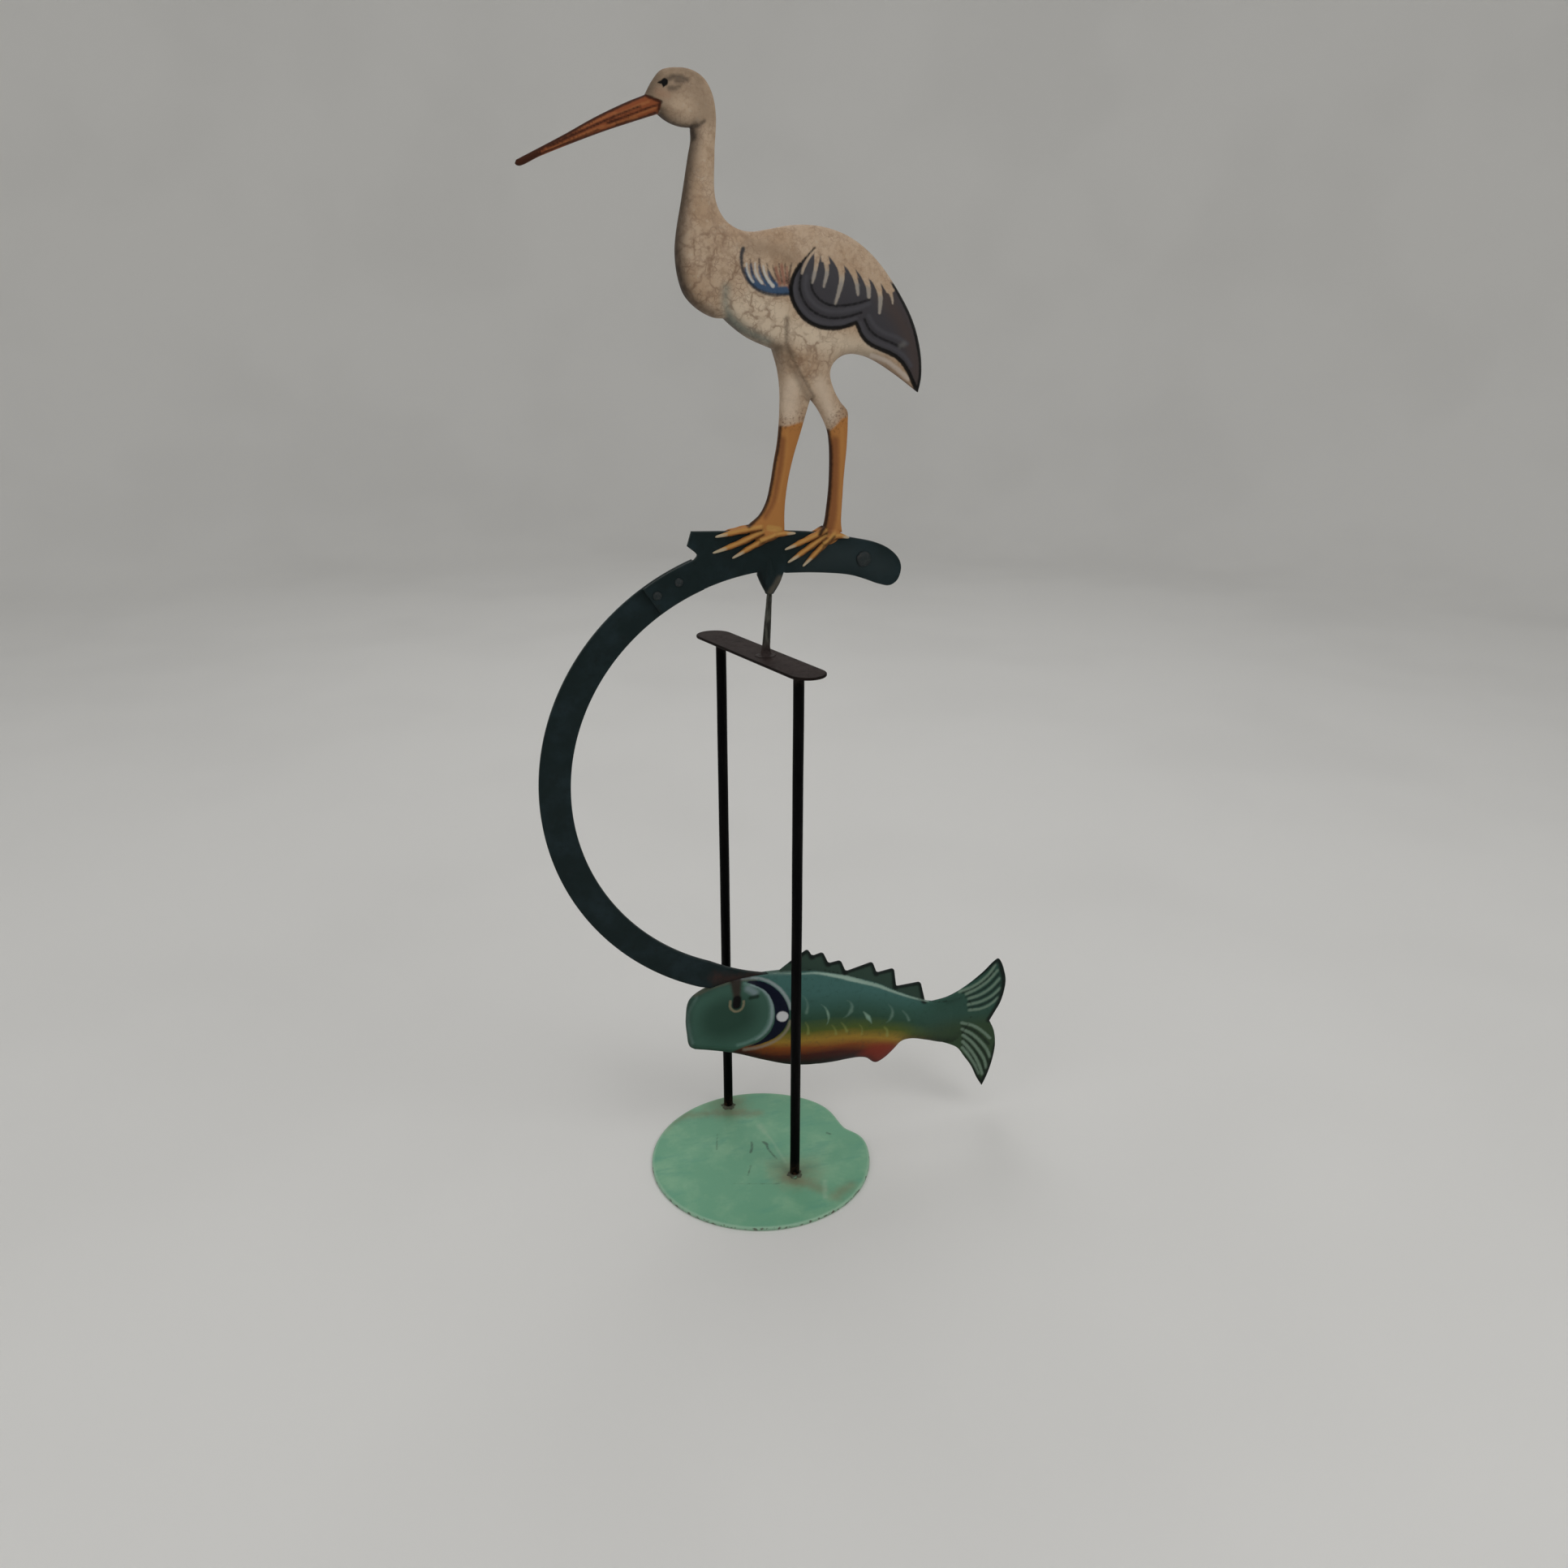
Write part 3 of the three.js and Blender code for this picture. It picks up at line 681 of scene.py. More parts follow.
def weld_paint(colours):
    """The foot's green carried over a weld, browned and dark towards the rod."""
    paint = Paint("painted_weld")
    fine = paint.noise(2.4, 5, 0.65)
    green = paint.blend(colours.pad_green, linear("#4c4334"), fine.step(0.2, 0.44) * 0.9)
    green = paint.blend(green, linear("#2a221b"), (paint.z - fine * 2).step(2.2, 3.8) * 0.85)
    return paint.finish(green, 0.5 + fine * 0.3, fine, 0.7)


def iron_paint(colours):
    """Dark brown-grey iron with a satin skin, and grime along its edges."""
    paint = Paint("dark_iron")
    broad = paint.noise(14, 4, 0.6)
    fine = paint.noise(2.5, 5, 0.65)
    iron = paint.blend(colours.iron, linear("#3b312e"), broad.step(0.42, 0.66) * 0.8)
    iron = paint.blend(iron, linear("#251e1c"), fine.step(0.52, 0.7) * 0.7)
    edge = paint.layer("edge")
    grimy = 1 - (edge + (fine - 0.5) * 1.4).step(0.1, 1.3)
    iron = paint.blend(iron, linear("#120d0b"), grimy * 0.8)
    height = broad * 0.5 + fine * 0.12
    return paint.finish(iron, 0.45 + fine * 0.22, height, 0.5, Specular_IOR_Level=0.05)


def spike_metal(colours):
    """A dark solder mound that turns to rubbed grey steel along the spike."""
    paint = Paint("spike_steel")
    fine = paint.noise(1.3, 5, 0.65)
    drawn = paint.noise(2.2, 3, 0.6, paint.stretched((1, 1, 0.15)))
    steel = paint.blend(colours.spike_grey, linear("#2f302c"), drawn.step(0.42, 0.62))
    dark = 1 - (paint.z + (fine - 0.5) * 5).step(342.5, 350)
    steel = paint.blend(steel, colours.iron, dark)
    steel = paint.blend(steel, linear("#4a3325"), fine.step(0.6, 0.7) * 0.5)
    height = fine * (0.25 + dark * 0.5)
    rough = 0.36 + fine * 0.3
    return paint.finish(steel, rough, height, 0.6, (1 - dark) * 0.3, Specular_IOR_Level=0.15)


def green_paint(colours):
    """Dark slate green, satin, with a faint sheen of brush marks and rubbed edges, a painted sheen
    towards the perch's right end, and painted shade and a painted highlight on the lug's two sides.
    """
    paint = Paint("dark_slate_green_paint")
    broad = paint.noise(22, 4, 0.6)
    fine = paint.noise(3, 5, 0.65)
    green = paint.blend(colours.dark_green, colours.dark_green_light, broad.step(0.4, 0.72))
    green = paint.blend(green, linear("#0b1415"), fine.step(0.5, 0.72) * 0.5)
    rust = (paint.layer("rust") + (fine - 0.5) * 9).step(-5, 5)
    green = paint.blend(green, colours.rust, rust * 0.75)
    # Painted shade down the lug's left side and a painted highlight down its right side
    lug_shade = (paint.layer("lug_dark") + (fine - 0.5) * 1.5).step(-1.6, 1)
    green = paint.blend(green, linear("#060b0b"), lug_shade * 0.85)
    lug_highlight = (paint.layer("lug_light") + (fine - 0.5) * 1.5).step(-1.4, 1)
    green = paint.blend(green, linear("#575248"), lug_highlight * 0.8)
    # Painted sheen towards the perch's right end
    paler = (paint.layer("paler") + (fine - 0.5) * 6).step(-8, 6)
    green = paint.blend(green, linear("#2c3739"), paler * 0.6)
    edge = paint.layer("edge")
    rubbed = 1 - (edge + (fine - 0.5) * 1.3).step(0.05, 0.7)
    green = paint.blend(green, linear("#2b3534"), rubbed * 0.4)
    height = broad * 0.8 + fine * 0.1 + paint.noise(1.0, 3) * 0.04
    return paint.finish(green, 0.38 + fine * 0.2, height, 0.5, Specular_IOR_Level=0.14)


def rivet_paint(colours):
    """The slate green on the rivets' heads, rubbed to grey."""
    paint = Paint("dark_green_rivets")
    fine = paint.noise(1.6, 5, 0.65)
    green = paint.blend(colours.dark_green, colours.dark_green_light, fine.step(0.4, 0.7))
    green = paint.blend(green, linear("#393634"), fine.step(0.4, 0.7) * 0.7)
    return paint.finish(green, 0.36 + fine * 0.25, fine, 0.6, Specular_IOR_Level=0.35)


def painted(paint, colour, layers, wander):
    """Paints strokes over one another, each from its layer of the mesh. A stroke may fade
    in over some millimetres of a wider layer, or leave a layer's strokes bare."""
    for name, tint, soft, strength, *limits in layers:
        mask = (paint.layer(name) + wander * min(1.0, 0.4 + soft)).step(-soft, soft) * strength
        for area, fade in limits:
            kept = (paint.layer(area) + wander * 0.6).step(-0.5, abs(fade))
            mask = mask * (kept if fade > 0 else 1 - kept)
        colour = paint.blend(colour, linear(tint), mask)
    return colour


def bird_paint(colours):
    """Cream with brown crackle, darker along the modelled edges, and the painted wing,
    feathers, bill, eye and legs."""
    paint = Paint("crackled_cream_paint")
    broad = paint.noise(22, 4, 0.6)
    fine = paint.noise(3.2, 5, 0.65)
    grain = paint.noise(1.1, 4, 0.7)
    wander = (paint.noise(1.6, 3, 0.6) - 0.5) * 0.9
    cream = paint.blend(colours.cream, colours.cream_warm, broad.step(0.4, 0.66))
    cream = paint.blend(cream, colours.cream_deep, fine.step(0.46, 0.7) * 0.45)
    cream = paint.blend(cream, colours.crackle, grain.step(0.54, 0.72) * 0.34)
    cream = paint.blend(cream, linear("#cfc2ae"), paint.noise(2.2, 4, 0.7).step(0.56, 0.72) * 0.45)
    cream = paint.blend(cream, linear("#dccab2"), paint.layer("pale").step(-7, 5) * 0.85)
    cream = paint.blend(cream, linear("#8f7a64"), paint.layer("dusky").step(-5, 4) * 0.62)
    crazed = paint.layer("crazed")
    wide = paint.cracks(9.5, paint.warped(5, 8))
    close = paint.cracks(2.8, paint.warped(2.4, 2.6))
    broken = paint.noise(7, 4, 0.6).step(0.4, 0.58)
    crack = (1 - wide.step(0.0, 0.11)) * crazed.step(0.15, 0.75) * (0.4 + broken * 0.6)
    patchy = paint.noise(6, 4, 0.6).step(0.42, 0.6)
    hair = (1 - close.step(0.0, 0.13)) * patchy * (0.26 + crazed * 0.34)
    crack = (crack * 0.8).at_least(hair)
    cream = paint.blend(cream, colours.crackle, crack * 0.72)
    halo = (1 - wide.step(0.0, 0.24)) * crazed.step(0.3, 0.9) * broken
    cream = paint.blend(cream, colours.cream_deep, halo * 0.25)
    # Painted shade along the edges facing front and down, partly airbrushed grey-brown paint
    shaded = (paint.layer("shade") * (0.8 + fine * 0.4)).clamped()
    cream = paint.blend(cream, colours.shading, shaded)
    colour = painted(paint, cream, BIRD_LAYERS, wander)
    dark = paint.layer("wing").step(-0.4, 0.4) * (1 - paint.layer("wing_tips").step(-0.5, 0.5))
    speck = paint.noise(0.7, 2).step(0.7, 0.78) * 0.35
    colour = paint.blend(colour, linear("#2a211b"), speck * (1 - dark))
    mottled = paint.noise(1.5, 4, 0.7).step(0.5, 0.62) * paint.layer("knee").step(-6, 0.5)
    colour = paint.blend(colour, linear("#5d3d29"), mottled * 0.6)
    height = grain * 0.05 + fine * 0.14 - crack * 0.12 + dark * 0.08
    rough = 0.5 + fine * 0.18 - dark * 0.12
    return paint.finish(colour, rough, height, 0.8, Specular_IOR_Level=0.16)


def fish_paint(colours):
    """Green blending down through yellow and orange to red, with the painted head,
    gill, back line, scales and rays."""
    paint = Paint("blended_fish_paint")
    fine = paint.noise(3, 5, 0.65)
    streak = paint.noise(8, 4, 0.6, paint.stretched((0.4, 1, 1.6)))
    wander = (paint.noise(1.6, 3, 0.6) - 0.5) * 0.9
    up = paint.layer("belly") + (streak - 0.5) * 5
    # Colours by their height over the belly, in millimetres; the darkest at the bottom edge is
    # partly the belly's own colour and partly painted shade of the underside
    blend = (
        (0, colours.belly_maroon),
        (6, colours.belly_red),
        (11, colours.belly_orange),
        (16.5, colours.belly_yellow),
        (24, colours.side_olive),
        (33, colours.side_green),
        (52, colours.back_teal),
    )
    stops = [(mm / BLEND_REACH, colour) for mm, colour in blend]
    body = paint.node("ValToRGB", {"stops": stops}, {0: up / BLEND_REACH}, output="Color")
    tail = paint.blend(linear("#334730"), linear("#305146"), paint.z.step(68, 84))
    body = paint.blend(body, tail, paint.layer("tailward").step(0, 1))
    body = paint.blend(body, linear("#203a31"), fine.step(0.5, 0.75) * 0.3)
    colour = painted(paint, body, FISH_LAYERS, wander)
    # Painted shade along the underside and the front edge
    shaded = (paint.layer("shade") * (0.7 + fine * 0.6)).clamped()
    colour = paint.tinted(colour, linear("#6c6a68"), shaded)
    height = fine * 0.14 + paint.noise(0.9, 3) * 0.05
    return paint.finish(colour, 0.36 + fine * 0.2, height, 0.8, Specular_IOR_Level=0.14)


# The bird: outline, feet and painted strokes

BIRD_OUTLINE = [
    [
        (-58.1, 613.2), (-54.3, 619.3), (-49.9, 623.8), (-42.7, 625.2), (-35.5, 624.5),
        (-29.6, 621.2), (-25.8, 615), (-24.1, 606), (-25.1, 589), (-24.8, 569),
        (-20.1, 560.7), (-13.4, 556.9), (-6.7, 556.1), (1.1, 557.3), (14.8, 559.6),
        (28.6, 559.3), (43.6, 554.9), (56.9, 545.9), (68.8, 532.5), (79.6, 515.6),
        (84.8, 500.1), (86, 487.7), (84.9, 479.4),
    ],
    [
        (84.9, 479.4), (70.6, 489.2), (60.8, 494.9), (53.4, 497.9), (46.1, 498.9),
        (40.2, 497.5), (36, 493.9), (34.7, 489.5), (36.6, 482.5), (40.6, 475.6),
        (45, 470.3), (45.3, 464.9), (45.1, 452.9), (43.9, 437.6), (43.1, 422), (42.8, 412),
        (43.6, 406.4),
    ],
    [(43.6, 406.4), (30.5, 404.5)],
    [
        (30.5, 404.5), (33.2, 411), (34.6, 420), (35.7, 432.6), (35.5, 453.1),
        (34.1, 461.1), (29, 471), (24.2, 477),
    ],
    [
        (24.2, 477), (19.6, 461.3), (15.3, 447.4), (12.1, 433.3), (10.5, 418.9),
        (10.6, 406.5),
    ],
    [(10.6, 406.5), (-9, 405.5)],
    [
        (-9, 405.5), (-10, 410.8), (-3.1, 417.2), (0.7, 424.3), (2.9, 433.5), (4.6, 443.6),
        (6.8, 455.6), (7.9, 469.3), (8.1, 480.6), (7, 490.5), (4, 501.2),
    ],
    [(4, 501.2), (-9.2, 506.6), (-17.1, 511.9), (-21.6, 515.8)],
    [
        (-21.6, 515.8), (-26.8, 516.2), (-34.7, 519.9), (-41.4, 526.4), (-44.6, 535.5),
        (-45.6, 545.7), (-44.8, 554.2), (-41.6, 570), (-38.1, 588), (-36.6, 595),
        (-36.6, 600.5),
    ],
    [(-36.6, 600.5), (-40.5, 600.6), (-44.8, 601.5), (-49.1, 603.4), (-52.2, 605.6)],
    [
        (-52.2, 605.6), (-64.3, 601.8), (-79.5, 596.8), (-107.6, 586.2), (-118.2, 581.6),
        (-119.9, 582.4), (-119.3, 584),
    ],
    [(-119.3, 584), (-96.5, 595.3), (-82, 602.9), (-67.6, 609.5), (-58.1, 613.2)],
]
# Each toe from the palm over its knuckle to the claw's tip
TOES = [
    [(-2, 410.4), (-15, 408.4), (-27.5, 406)],
    [(-1, 408), (-14, 402.4), (-29, 397.4)],
    [(6, 406), (-6, 400.6), (-18.2, 394.2)],
    [(-3, 403), (8, 406.2), (17.5, 406.4)],
    [(35, 407.4), (23, 402.2), (11.5, 397.6)],
    [(35, 404.8), (25, 398), (13.2, 390.4)],
    [(39.5, 405.2), (31, 396.8), (21.8, 388)],
    [(33, 400), (41, 404), (48.5, 402.8)],
]
# Where each palm is, its width and its tilt in degrees
PALMS = [((1, 407.8), 19, 14), ((36.4, 404.8), 13, 24)]
# Lines that are both grooved and painted along the wing's feathers
WING_LINES = [
    [
        (19.2, 538), (18.4, 531), (19.8, 526), (23.4, 521.2), (29, 517.8), (36, 516.3),
        (44, 517), (52, 519.2),
    ],
    [(24.4, 534), (25, 530), (28, 526), (33, 523), (40, 522.2), (49, 523.4), (56, 525.4)],
    [(53.6, 516), (56.2, 511.4), (61, 507.6), (68, 504.8), (75, 501.8)],
]
# Grooves in the relief: line, width and depth
CREASES = [
    (
        [(11.9, 514.5), (11.6, 507), (13.2, 500), (17, 493), (21.2, 486.2), (25.6, 478.6)],
        2.5, 0.9,
    ),
    ([(-37, 600.2), (-34.4, 600.8), (-32, 602), (-29.8, 603.8)], 1.5, 0.9),
    ([(-21.4, 515.6), (-20.8, 521), (-19.8, 527), (-19.4, 532)], 1.6, 0.7),
    *((line, 0.8, 0.3) for line in WING_LINES),
]
# Bands painted along the wing's feathers, and the wing's own edge in three parts
WING_BANDS = [
    [
        (16.2, 536), (15.8, 530), (17.2, 524.6), (21, 519.4), (27, 515.4), (34, 513.8),
        (42, 514.3), (49, 516.2),
    ],
    [
        (21.8, 536), (21.4, 531), (23.2, 526.6), (27.4, 522.4), (33, 520), (40, 519.6),
        (49, 521), (56, 523.4),
    ],
    [
        (51.5, 514), (54, 509.2), (58, 506), (63.5, 503.8), (70, 501.5), (76, 498.3),
        (80.5, 493),
    ],
    [(56, 517.5), (59.2, 513), (64.4, 509.6), (72, 507), (78, 504)],
]
WING_EDGE = [
    (26.3, 549.6), (22.6, 545.8), (18.6, 541.6), (15.6, 537), (14, 532.5), (13.9, 528),
    (15.2, 523.6), (18.2, 519), (22.6, 515), (28, 512.5), (34, 511.4), (40, 511.6),
    (45, 512.8), (49, 514.2),
]
WING_EDGE_BELOW = [
    (50.2, 512.2), (52.2, 508.2), (56, 504.4), (61, 501.9), (66.5, 499.9), (71.5, 497.6),
    (75.8, 494.2), (79, 490), (81.5, 485.6), (84.2, 480.4),
]
WING_EDGE_ABOVE = [
    (88, 476), (92, 488), (90, 505), (84, 521), (74, 534), (71.4, 531.4), (68, 528.6),
    (64, 529), (60, 530.4), (55, 532.6), (49, 536.2), (44, 538), (39, 539.2), (35, 541.6),
    (30, 543), (26.6, 543),
]
# Painted marks by layer: a line with its width at either end, or a closed area
BIRD_STROKES = {
    "legs": [
        [
            (4, 462.4), (8, 462.8), (12, 463.2), (16, 464), (20, 465), (24, 462), (20, 430),
            (16, 424), (22, 420), (30, 424), (31.5, 450), (33, 458.8), (36, 460.6),
            (39, 463), (42, 466), (46.5, 467.4), (50, 460), (48, 430), (48, 409), (55, 403),
            (52, 396), (20, 382), (-6, 386), (-34, 390), (-36, 402), (-28, 412), (-10, 416),
            (-3, 426), (1, 445),
        ],
    ],
    "pale": [
        ([(-12, 518), (0, 511), (14, 510), (30, 506), (44, 504), (56, 501)], 14, 7),
        ([(-6, 524), (8, 518)], 10, 10),
    ],
    "dusky": [
        ([(-58, 610), (-50, 617), (-40, 620), (-32, 616), (-28, 606)], 14, 8),
        ([(-8, 549), (4, 548), (14, 544)], 5, 4),
    ],
    "cheek": [([(-51, 614.8), (-47.4, 613.6)], 3, 3)],
    "knee": [
        ([(8, 464.8), (14, 465.2), (20, 467)], 2, 2),
        ([(37, 463), (40, 465.6), (45, 470)], 3, 5),
    ],
    "pale_legs": [
        ([(15, 484), (13, 474), (14, 464)], 9, 10),
        ([(30, 484), (34, 474), (39, 464)], 7, 8),
    ],
    "wing_warm": [([(64, 528), (76, 512), (83, 496), (84, 484)], 8, 7)],
    "leg_red": [
        ([(9.6, 456), (8.6, 444), (6.6, 433), (4.6, 424), (0, 416)], 3.4, 2.2),
        ([(38.6, 455), (39, 440), (38.8, 428), (38, 414), (36, 407)], 4.6, 4.6),
    ],
    # Dark brown down the legs' left edges, partly paint and partly painted shade, and painted shade
    # under each toe
    "leg_dark": [
        (
            [
                (8.2, 462.4), (7, 452), (5.2, 443), (3.4, 433), (1, 424), (-3, 417),
                (-9, 411.4),
            ],
            1.9, 2.2,
        ),
        (
            [(34.4, 460), (36.2, 450), (36.3, 433), (35.3, 420), (34, 411), (31.2, 405.5)],
            2.7, 2.5,
        ),
        # Painted shade along the underside of each toe
        *(([(x, z - 1.5) for x, z in toe], 1.1, 0.5) for toe in TOES),
    ],
    # Painted highlight along the top of each toe and on the palm
    "toe_light": [
        *(([(x, z + 0.6) for x, z in toe], 1.6, 1) for toe in TOES),
        ([(2, 410), (8, 409)], 3, 3),
    ],
    "claws": [
        ([tuple(0.45 * a + 0.55 * b for a, b in zip(knuckle, tip)), tip], 1.2, 4)
        for _, knuckle, tip in TOES
    ],
    # Painted highlight down the lit right side of each leg
    "shin": [
        ([(12, 460), (11.4, 448), (9.2, 434), (7, 424)], 1.4, 1),
        ([(42.6, 462), (43, 448), (42.2, 432), (41.6, 414)], 1.6, 1.2),
    ],
    "bill": [
        [
            (-58.3, 613.7), (-55.5, 612.7), (-50.6, 611.4), (-50.1, 609.6), (-51.5, 606.9),
            (-52.2, 604.8), (-58, 601), (-80, 594), (-108, 583), (-122, 577), (-125, 584),
            (-100, 597), (-75, 609),
        ],
    ],
    "bill_light": [
        ([(-53, 608.2), (-60, 605.6), (-66, 603.6)], 1, 0.8),
        ([(-62, 603.6), (-72, 601), (-80, 598.6)], 1.2, 1),
        ([(-78, 599.4), (-88, 595.6), (-97, 591.8), (-105, 588.6)], 1.2, 0.7),
        ([(-56, 610.6), (-64, 607.6), (-72, 604.4)], 1.1, 0.8),
        ([(-72, 605.4), (-80, 602), (-90, 597.6)], 0.9, 0.7),
    ],
    "bill_dark": [
        (
            [(-58.4, 613.2), (-67.6, 609.4), (-82, 602.9), (-96.5, 595.3), (-119, 583.9)],
            1.8, 2.6,
        ),
        ([(-58.4, 613.2), (-54.5, 612.2), (-50.3, 610.8)], 1.2, 1.7),
        ([(-50.6, 611), (-51, 608.6), (-52.4, 606)], 1.5, 1),
        ([(-51.2, 609.6), (-58, 607.4), (-66, 604.4), (-76, 600.8)], 0.8, 1.1),
        ([(-60, 608.6), (-70, 604.8), (-80, 600.6), (-92, 595.4), (-104, 590.2)], 0.8, 1.3),
        ([(-60, 603.4), (-66, 602.2), (-72, 600.2)], 0.5, 0.7),
        ([(-80, 598), (-92, 593.2), (-104, 588.4), (-114, 584.2)], 0.6, 1),
        ([(-53, 606), (-64, 602.2), (-78, 597.6), (-96, 591)], 1, 0.7),
        ([(-108, 587), (-119.8, 582.6)], 1.6, 4.8),
    ],
    "brow": [
        ([(-46.6, 620.4), (-43.5, 621.4), (-40.5, 621.2), (-37.6, 620.4)], 2.4, 2),
        ([(-42.6, 619.8), (-39.4, 619.8)], 2.2, 1.6),
        ([(-46, 616.6), (-43.6, 616.6), (-41.4, 617.6)], 2, 1.2),
    ],
    "crown": [
        ([(-51, 622), (-45, 624.4), (-38, 624.4), (-33.4, 622.8), (-31.4, 620.6)], 1, 2.6),
    ],
    "eye": [
        ([(-51.3, 618.6), (-49.8, 618.8)], 0.7, 1.6),
        ([(-48.3, 619.1), (-48.1, 619.1)], 3.1, 3.1),
        ([(-48.6, 618), (-49, 617)], 1.8, 0.8),
    ],
    # Painted shade under the head's bulge, along the chin
    "chin": [
        (
            [
                (-51.8, 605.2), (-48, 602.8), (-44, 601.5), (-40, 600.9), (-36.6, 600.7),
                (-33.6, 601.2), (-30.6, 602.8), (-29.6, 603.6),
            ],
            1.7, 1.1,
        ),
        ([(-35.4, 599), (-34.8, 596.4)], 1.6, 1.9),
    ],
    # Painted shade on the far leg where the near thigh overlaps it
    "far_leg": [
        ([(4, 503), (8, 502), (12, 501), (15, 498)], 4, 3),
        ([(11.4, 501), (13, 495), (16.5, 489.4), (20.4, 482.6), (24, 476.6)], 2.4, 3.4),
    ],
    # Painted shade in the crease between the thighs
    "crease": [
        ([(11.8, 516), (11.6, 510), (11.6, 504)], 2, 1.8),
        ([(11.6, 504), (13.4, 499.6), (17, 493), (21.2, 486.2), (26.4, 478)], 1.2, 1.2),
    ],
    "teal": [
        (
            [(-20, 530), (-20.4, 523), (-18, 516.8), (-12.4, 511.8), (-4, 507.6), (2, 505)],
            3.4, 2.6,
        ),
    ],
    "tail_patch": [([(58, 498.2), (66, 495.6), (72, 491.8), (79, 486.4)], 2, 2.6)],
    # Painted shade along the tail's lower edge
    "tail_line": [([(54, 497.2), (62, 494), (71, 488.8), (82, 481.4)], 0.9, 1.6)],
    "plume_navy": [
        (
            [
                (-11, 548.4), (-12, 544.6), (-11.7, 540), (-10.3, 536.4), (-7.8, 532.8),
                (-4.6, 530), (0, 528), (5, 527.2), (13.6, 527.6),
            ],
            1.6, 1.5,
        ),
        ([(-11, 548.2), (-12, 545), (-11.8, 541)], 2.2, 1.6),
    ],
    "plume_blue": [
        ([(-4.6, 531.6), (0, 530), (6, 529.2), (13.4, 529.4)], 3, 4.2),
        ([(-10, 539), (-8.6, 535), (-5.6, 531.8)], 1.2, 2.4),
        ([(-7.2, 541), (-6.5, 537), (-4.5, 533.4), (-2.6, 531.4)], 1.1, 2.4),
        ([(-2.8, 540.6), (-2, 536.8), (0, 533.6), (2, 531.4)], 1.1, 2.4),
        ([(1.8, 538), (3.4, 534.8), (6, 531.6)], 1, 2.6),
    ],
    "plume_pink": [
        ([(5.6, 540), (6.6, 536.6), (8, 532.6)], 1.3, 2),
        ([(8.8, 541), (9.4, 537), (10.4, 532.4)], 1.6, 2),
        ([(11.6, 540), (12, 534.5), (12.6, 531)], 1, 1.6),
    ],
    "plume_dark": [
        ([(-7.4, 543.4), (-7.1, 540), (-6.2, 536.6)], 0.7, 0.9),
        ([(-2.8, 544), (-2.5, 540), (-1, 536.4), (1.4, 533.8)], 0.8, 1.2),
        ([(1, 542), (2, 538), (5, 533.8)], 0.6, 1.1),
        ([(4.2, 541), (5.2, 537.6), (6.8, 534)], 0.6, 0.9),
        ([(7.4, 541.6), (8, 538), (9.2, 533)], 0.6, 0.8),
        ([(10.6, 541.6), (10.8, 538), (11.6, 532.6)], 0.6, 0.8),
        ([(14, 542), (13.1, 538), (12.8, 534), (13, 530)], 0.8, 1.6),
    ],
    "plume_white": [
        ([(-9.4, 541.6), (-8.9, 538), (-7.4, 534.8), (-6, 533.2)], 0.8, 1.1),
        ([(-5, 541.8), (-4.7, 538), (-3.2, 534.8), (-1.4, 532.7)], 0.8, 1.3),
        ([(-0.7, 540.8), (0, 537.3), (1.8, 534), (4.4, 531.3)], 0.8, 1.8),
    ],
    "wing": [
        [*WING_EDGE, *WING_EDGE_BELOW, *WING_EDGE_ABOVE],
        ([(24.4, 546.2), (22.6, 542.4), (21.6, 538)], 0.2, 2.4),
        ([(29, 546.8), (29, 542), (28.6, 538)], 0.2, 3),
        ([(33.4, 546), (35.2, 542.8), (37, 539)], 0.4, 3.6),
        ([(41.4, 541.8), (43.6, 538.6), (45, 535)], 0.3, 3.6),
        ([(47.6, 540), (50.4, 536.4), (52.4, 532.6)], 0.3, 3.4),
        ([(54.4, 536.2), (57.2, 532.6), (58.6, 529)], 0.3, 3.4),
        ([(62, 533), (64, 529.4), (65, 526)], 0.3, 3),
        ([(67.4, 534), (70.6, 530.4), (73, 527)], 0.4, 3.4),
    ],
    "wing_bands": [(line, 2, 1.8) for line in WING_BANDS],
    "wing_lines": [(line, 1.2, 1.1) for line in WING_LINES],
    "wing_outline": [
        (WING_EDGE, 0.9, 2),
        (WING_EDGE[2:12], 2.1, 2.1),
        ([WING_EDGE[-1], *WING_EDGE_BELOW], 2, 2.4),
        ([(85.4, 481), (86.4, 490), (84.6, 501), (79.4, 516), (68.8, 533)], 2.6, 1.2),
    ],
    "wing_tips": [
        ([(27, 549.4), (23.2, 545), (20.8, 541), (19.4, 537.4)], 1.7, 1.2),
        ([(28, 550), (27.4, 544), (26.6, 539), (25.2, 533.2)], 3.6, 0.7),
        ([(31.4, 550), (32.2, 543.5), (32.8, 538), (31.2, 531.4)], 3.6, 0.7),
        ([(37.4, 547), (39.9, 541.4), (40.8, 535.4), (39.4, 529), (37.6, 523.2)], 4.6, 0.7),
        ([(43.6, 545), (46.6, 538.8), (48.8, 533.4), (49.8, 527.6)], 4.2, 0.8),
        ([(49.8, 542), (53.4, 536), (55.4, 531), (55.8, 526.6)], 4.6, 1.3),
        ([(57, 538.8), (60.4, 532.4), (62.1, 526), (61.8, 519)], 4.4, 0.9),
        ([(63.6, 536.6), (66.6, 530.8), (68.4, 526.6), (69, 523.6)], 4.2, 0.7),
    ],
    "wing_tip_ends": [
        ([(26.2, 537.6), (25.2, 533.4)], 2, 1.4),
        ([(32.8, 537.6), (31.2, 531.6)], 2, 1.4),
        ([(40.5, 532.6), (39.4, 529), (37.6, 523.6)], 2.4, 1.6),
        ([(49.4, 532), (49.8, 528)], 2.2, 1.6),
        ([(55.5, 531.4), (55.8, 527)], 2.6, 2),
        ([(62.1, 526), (61.8, 519.4)], 2.4, 1.6),
    ],
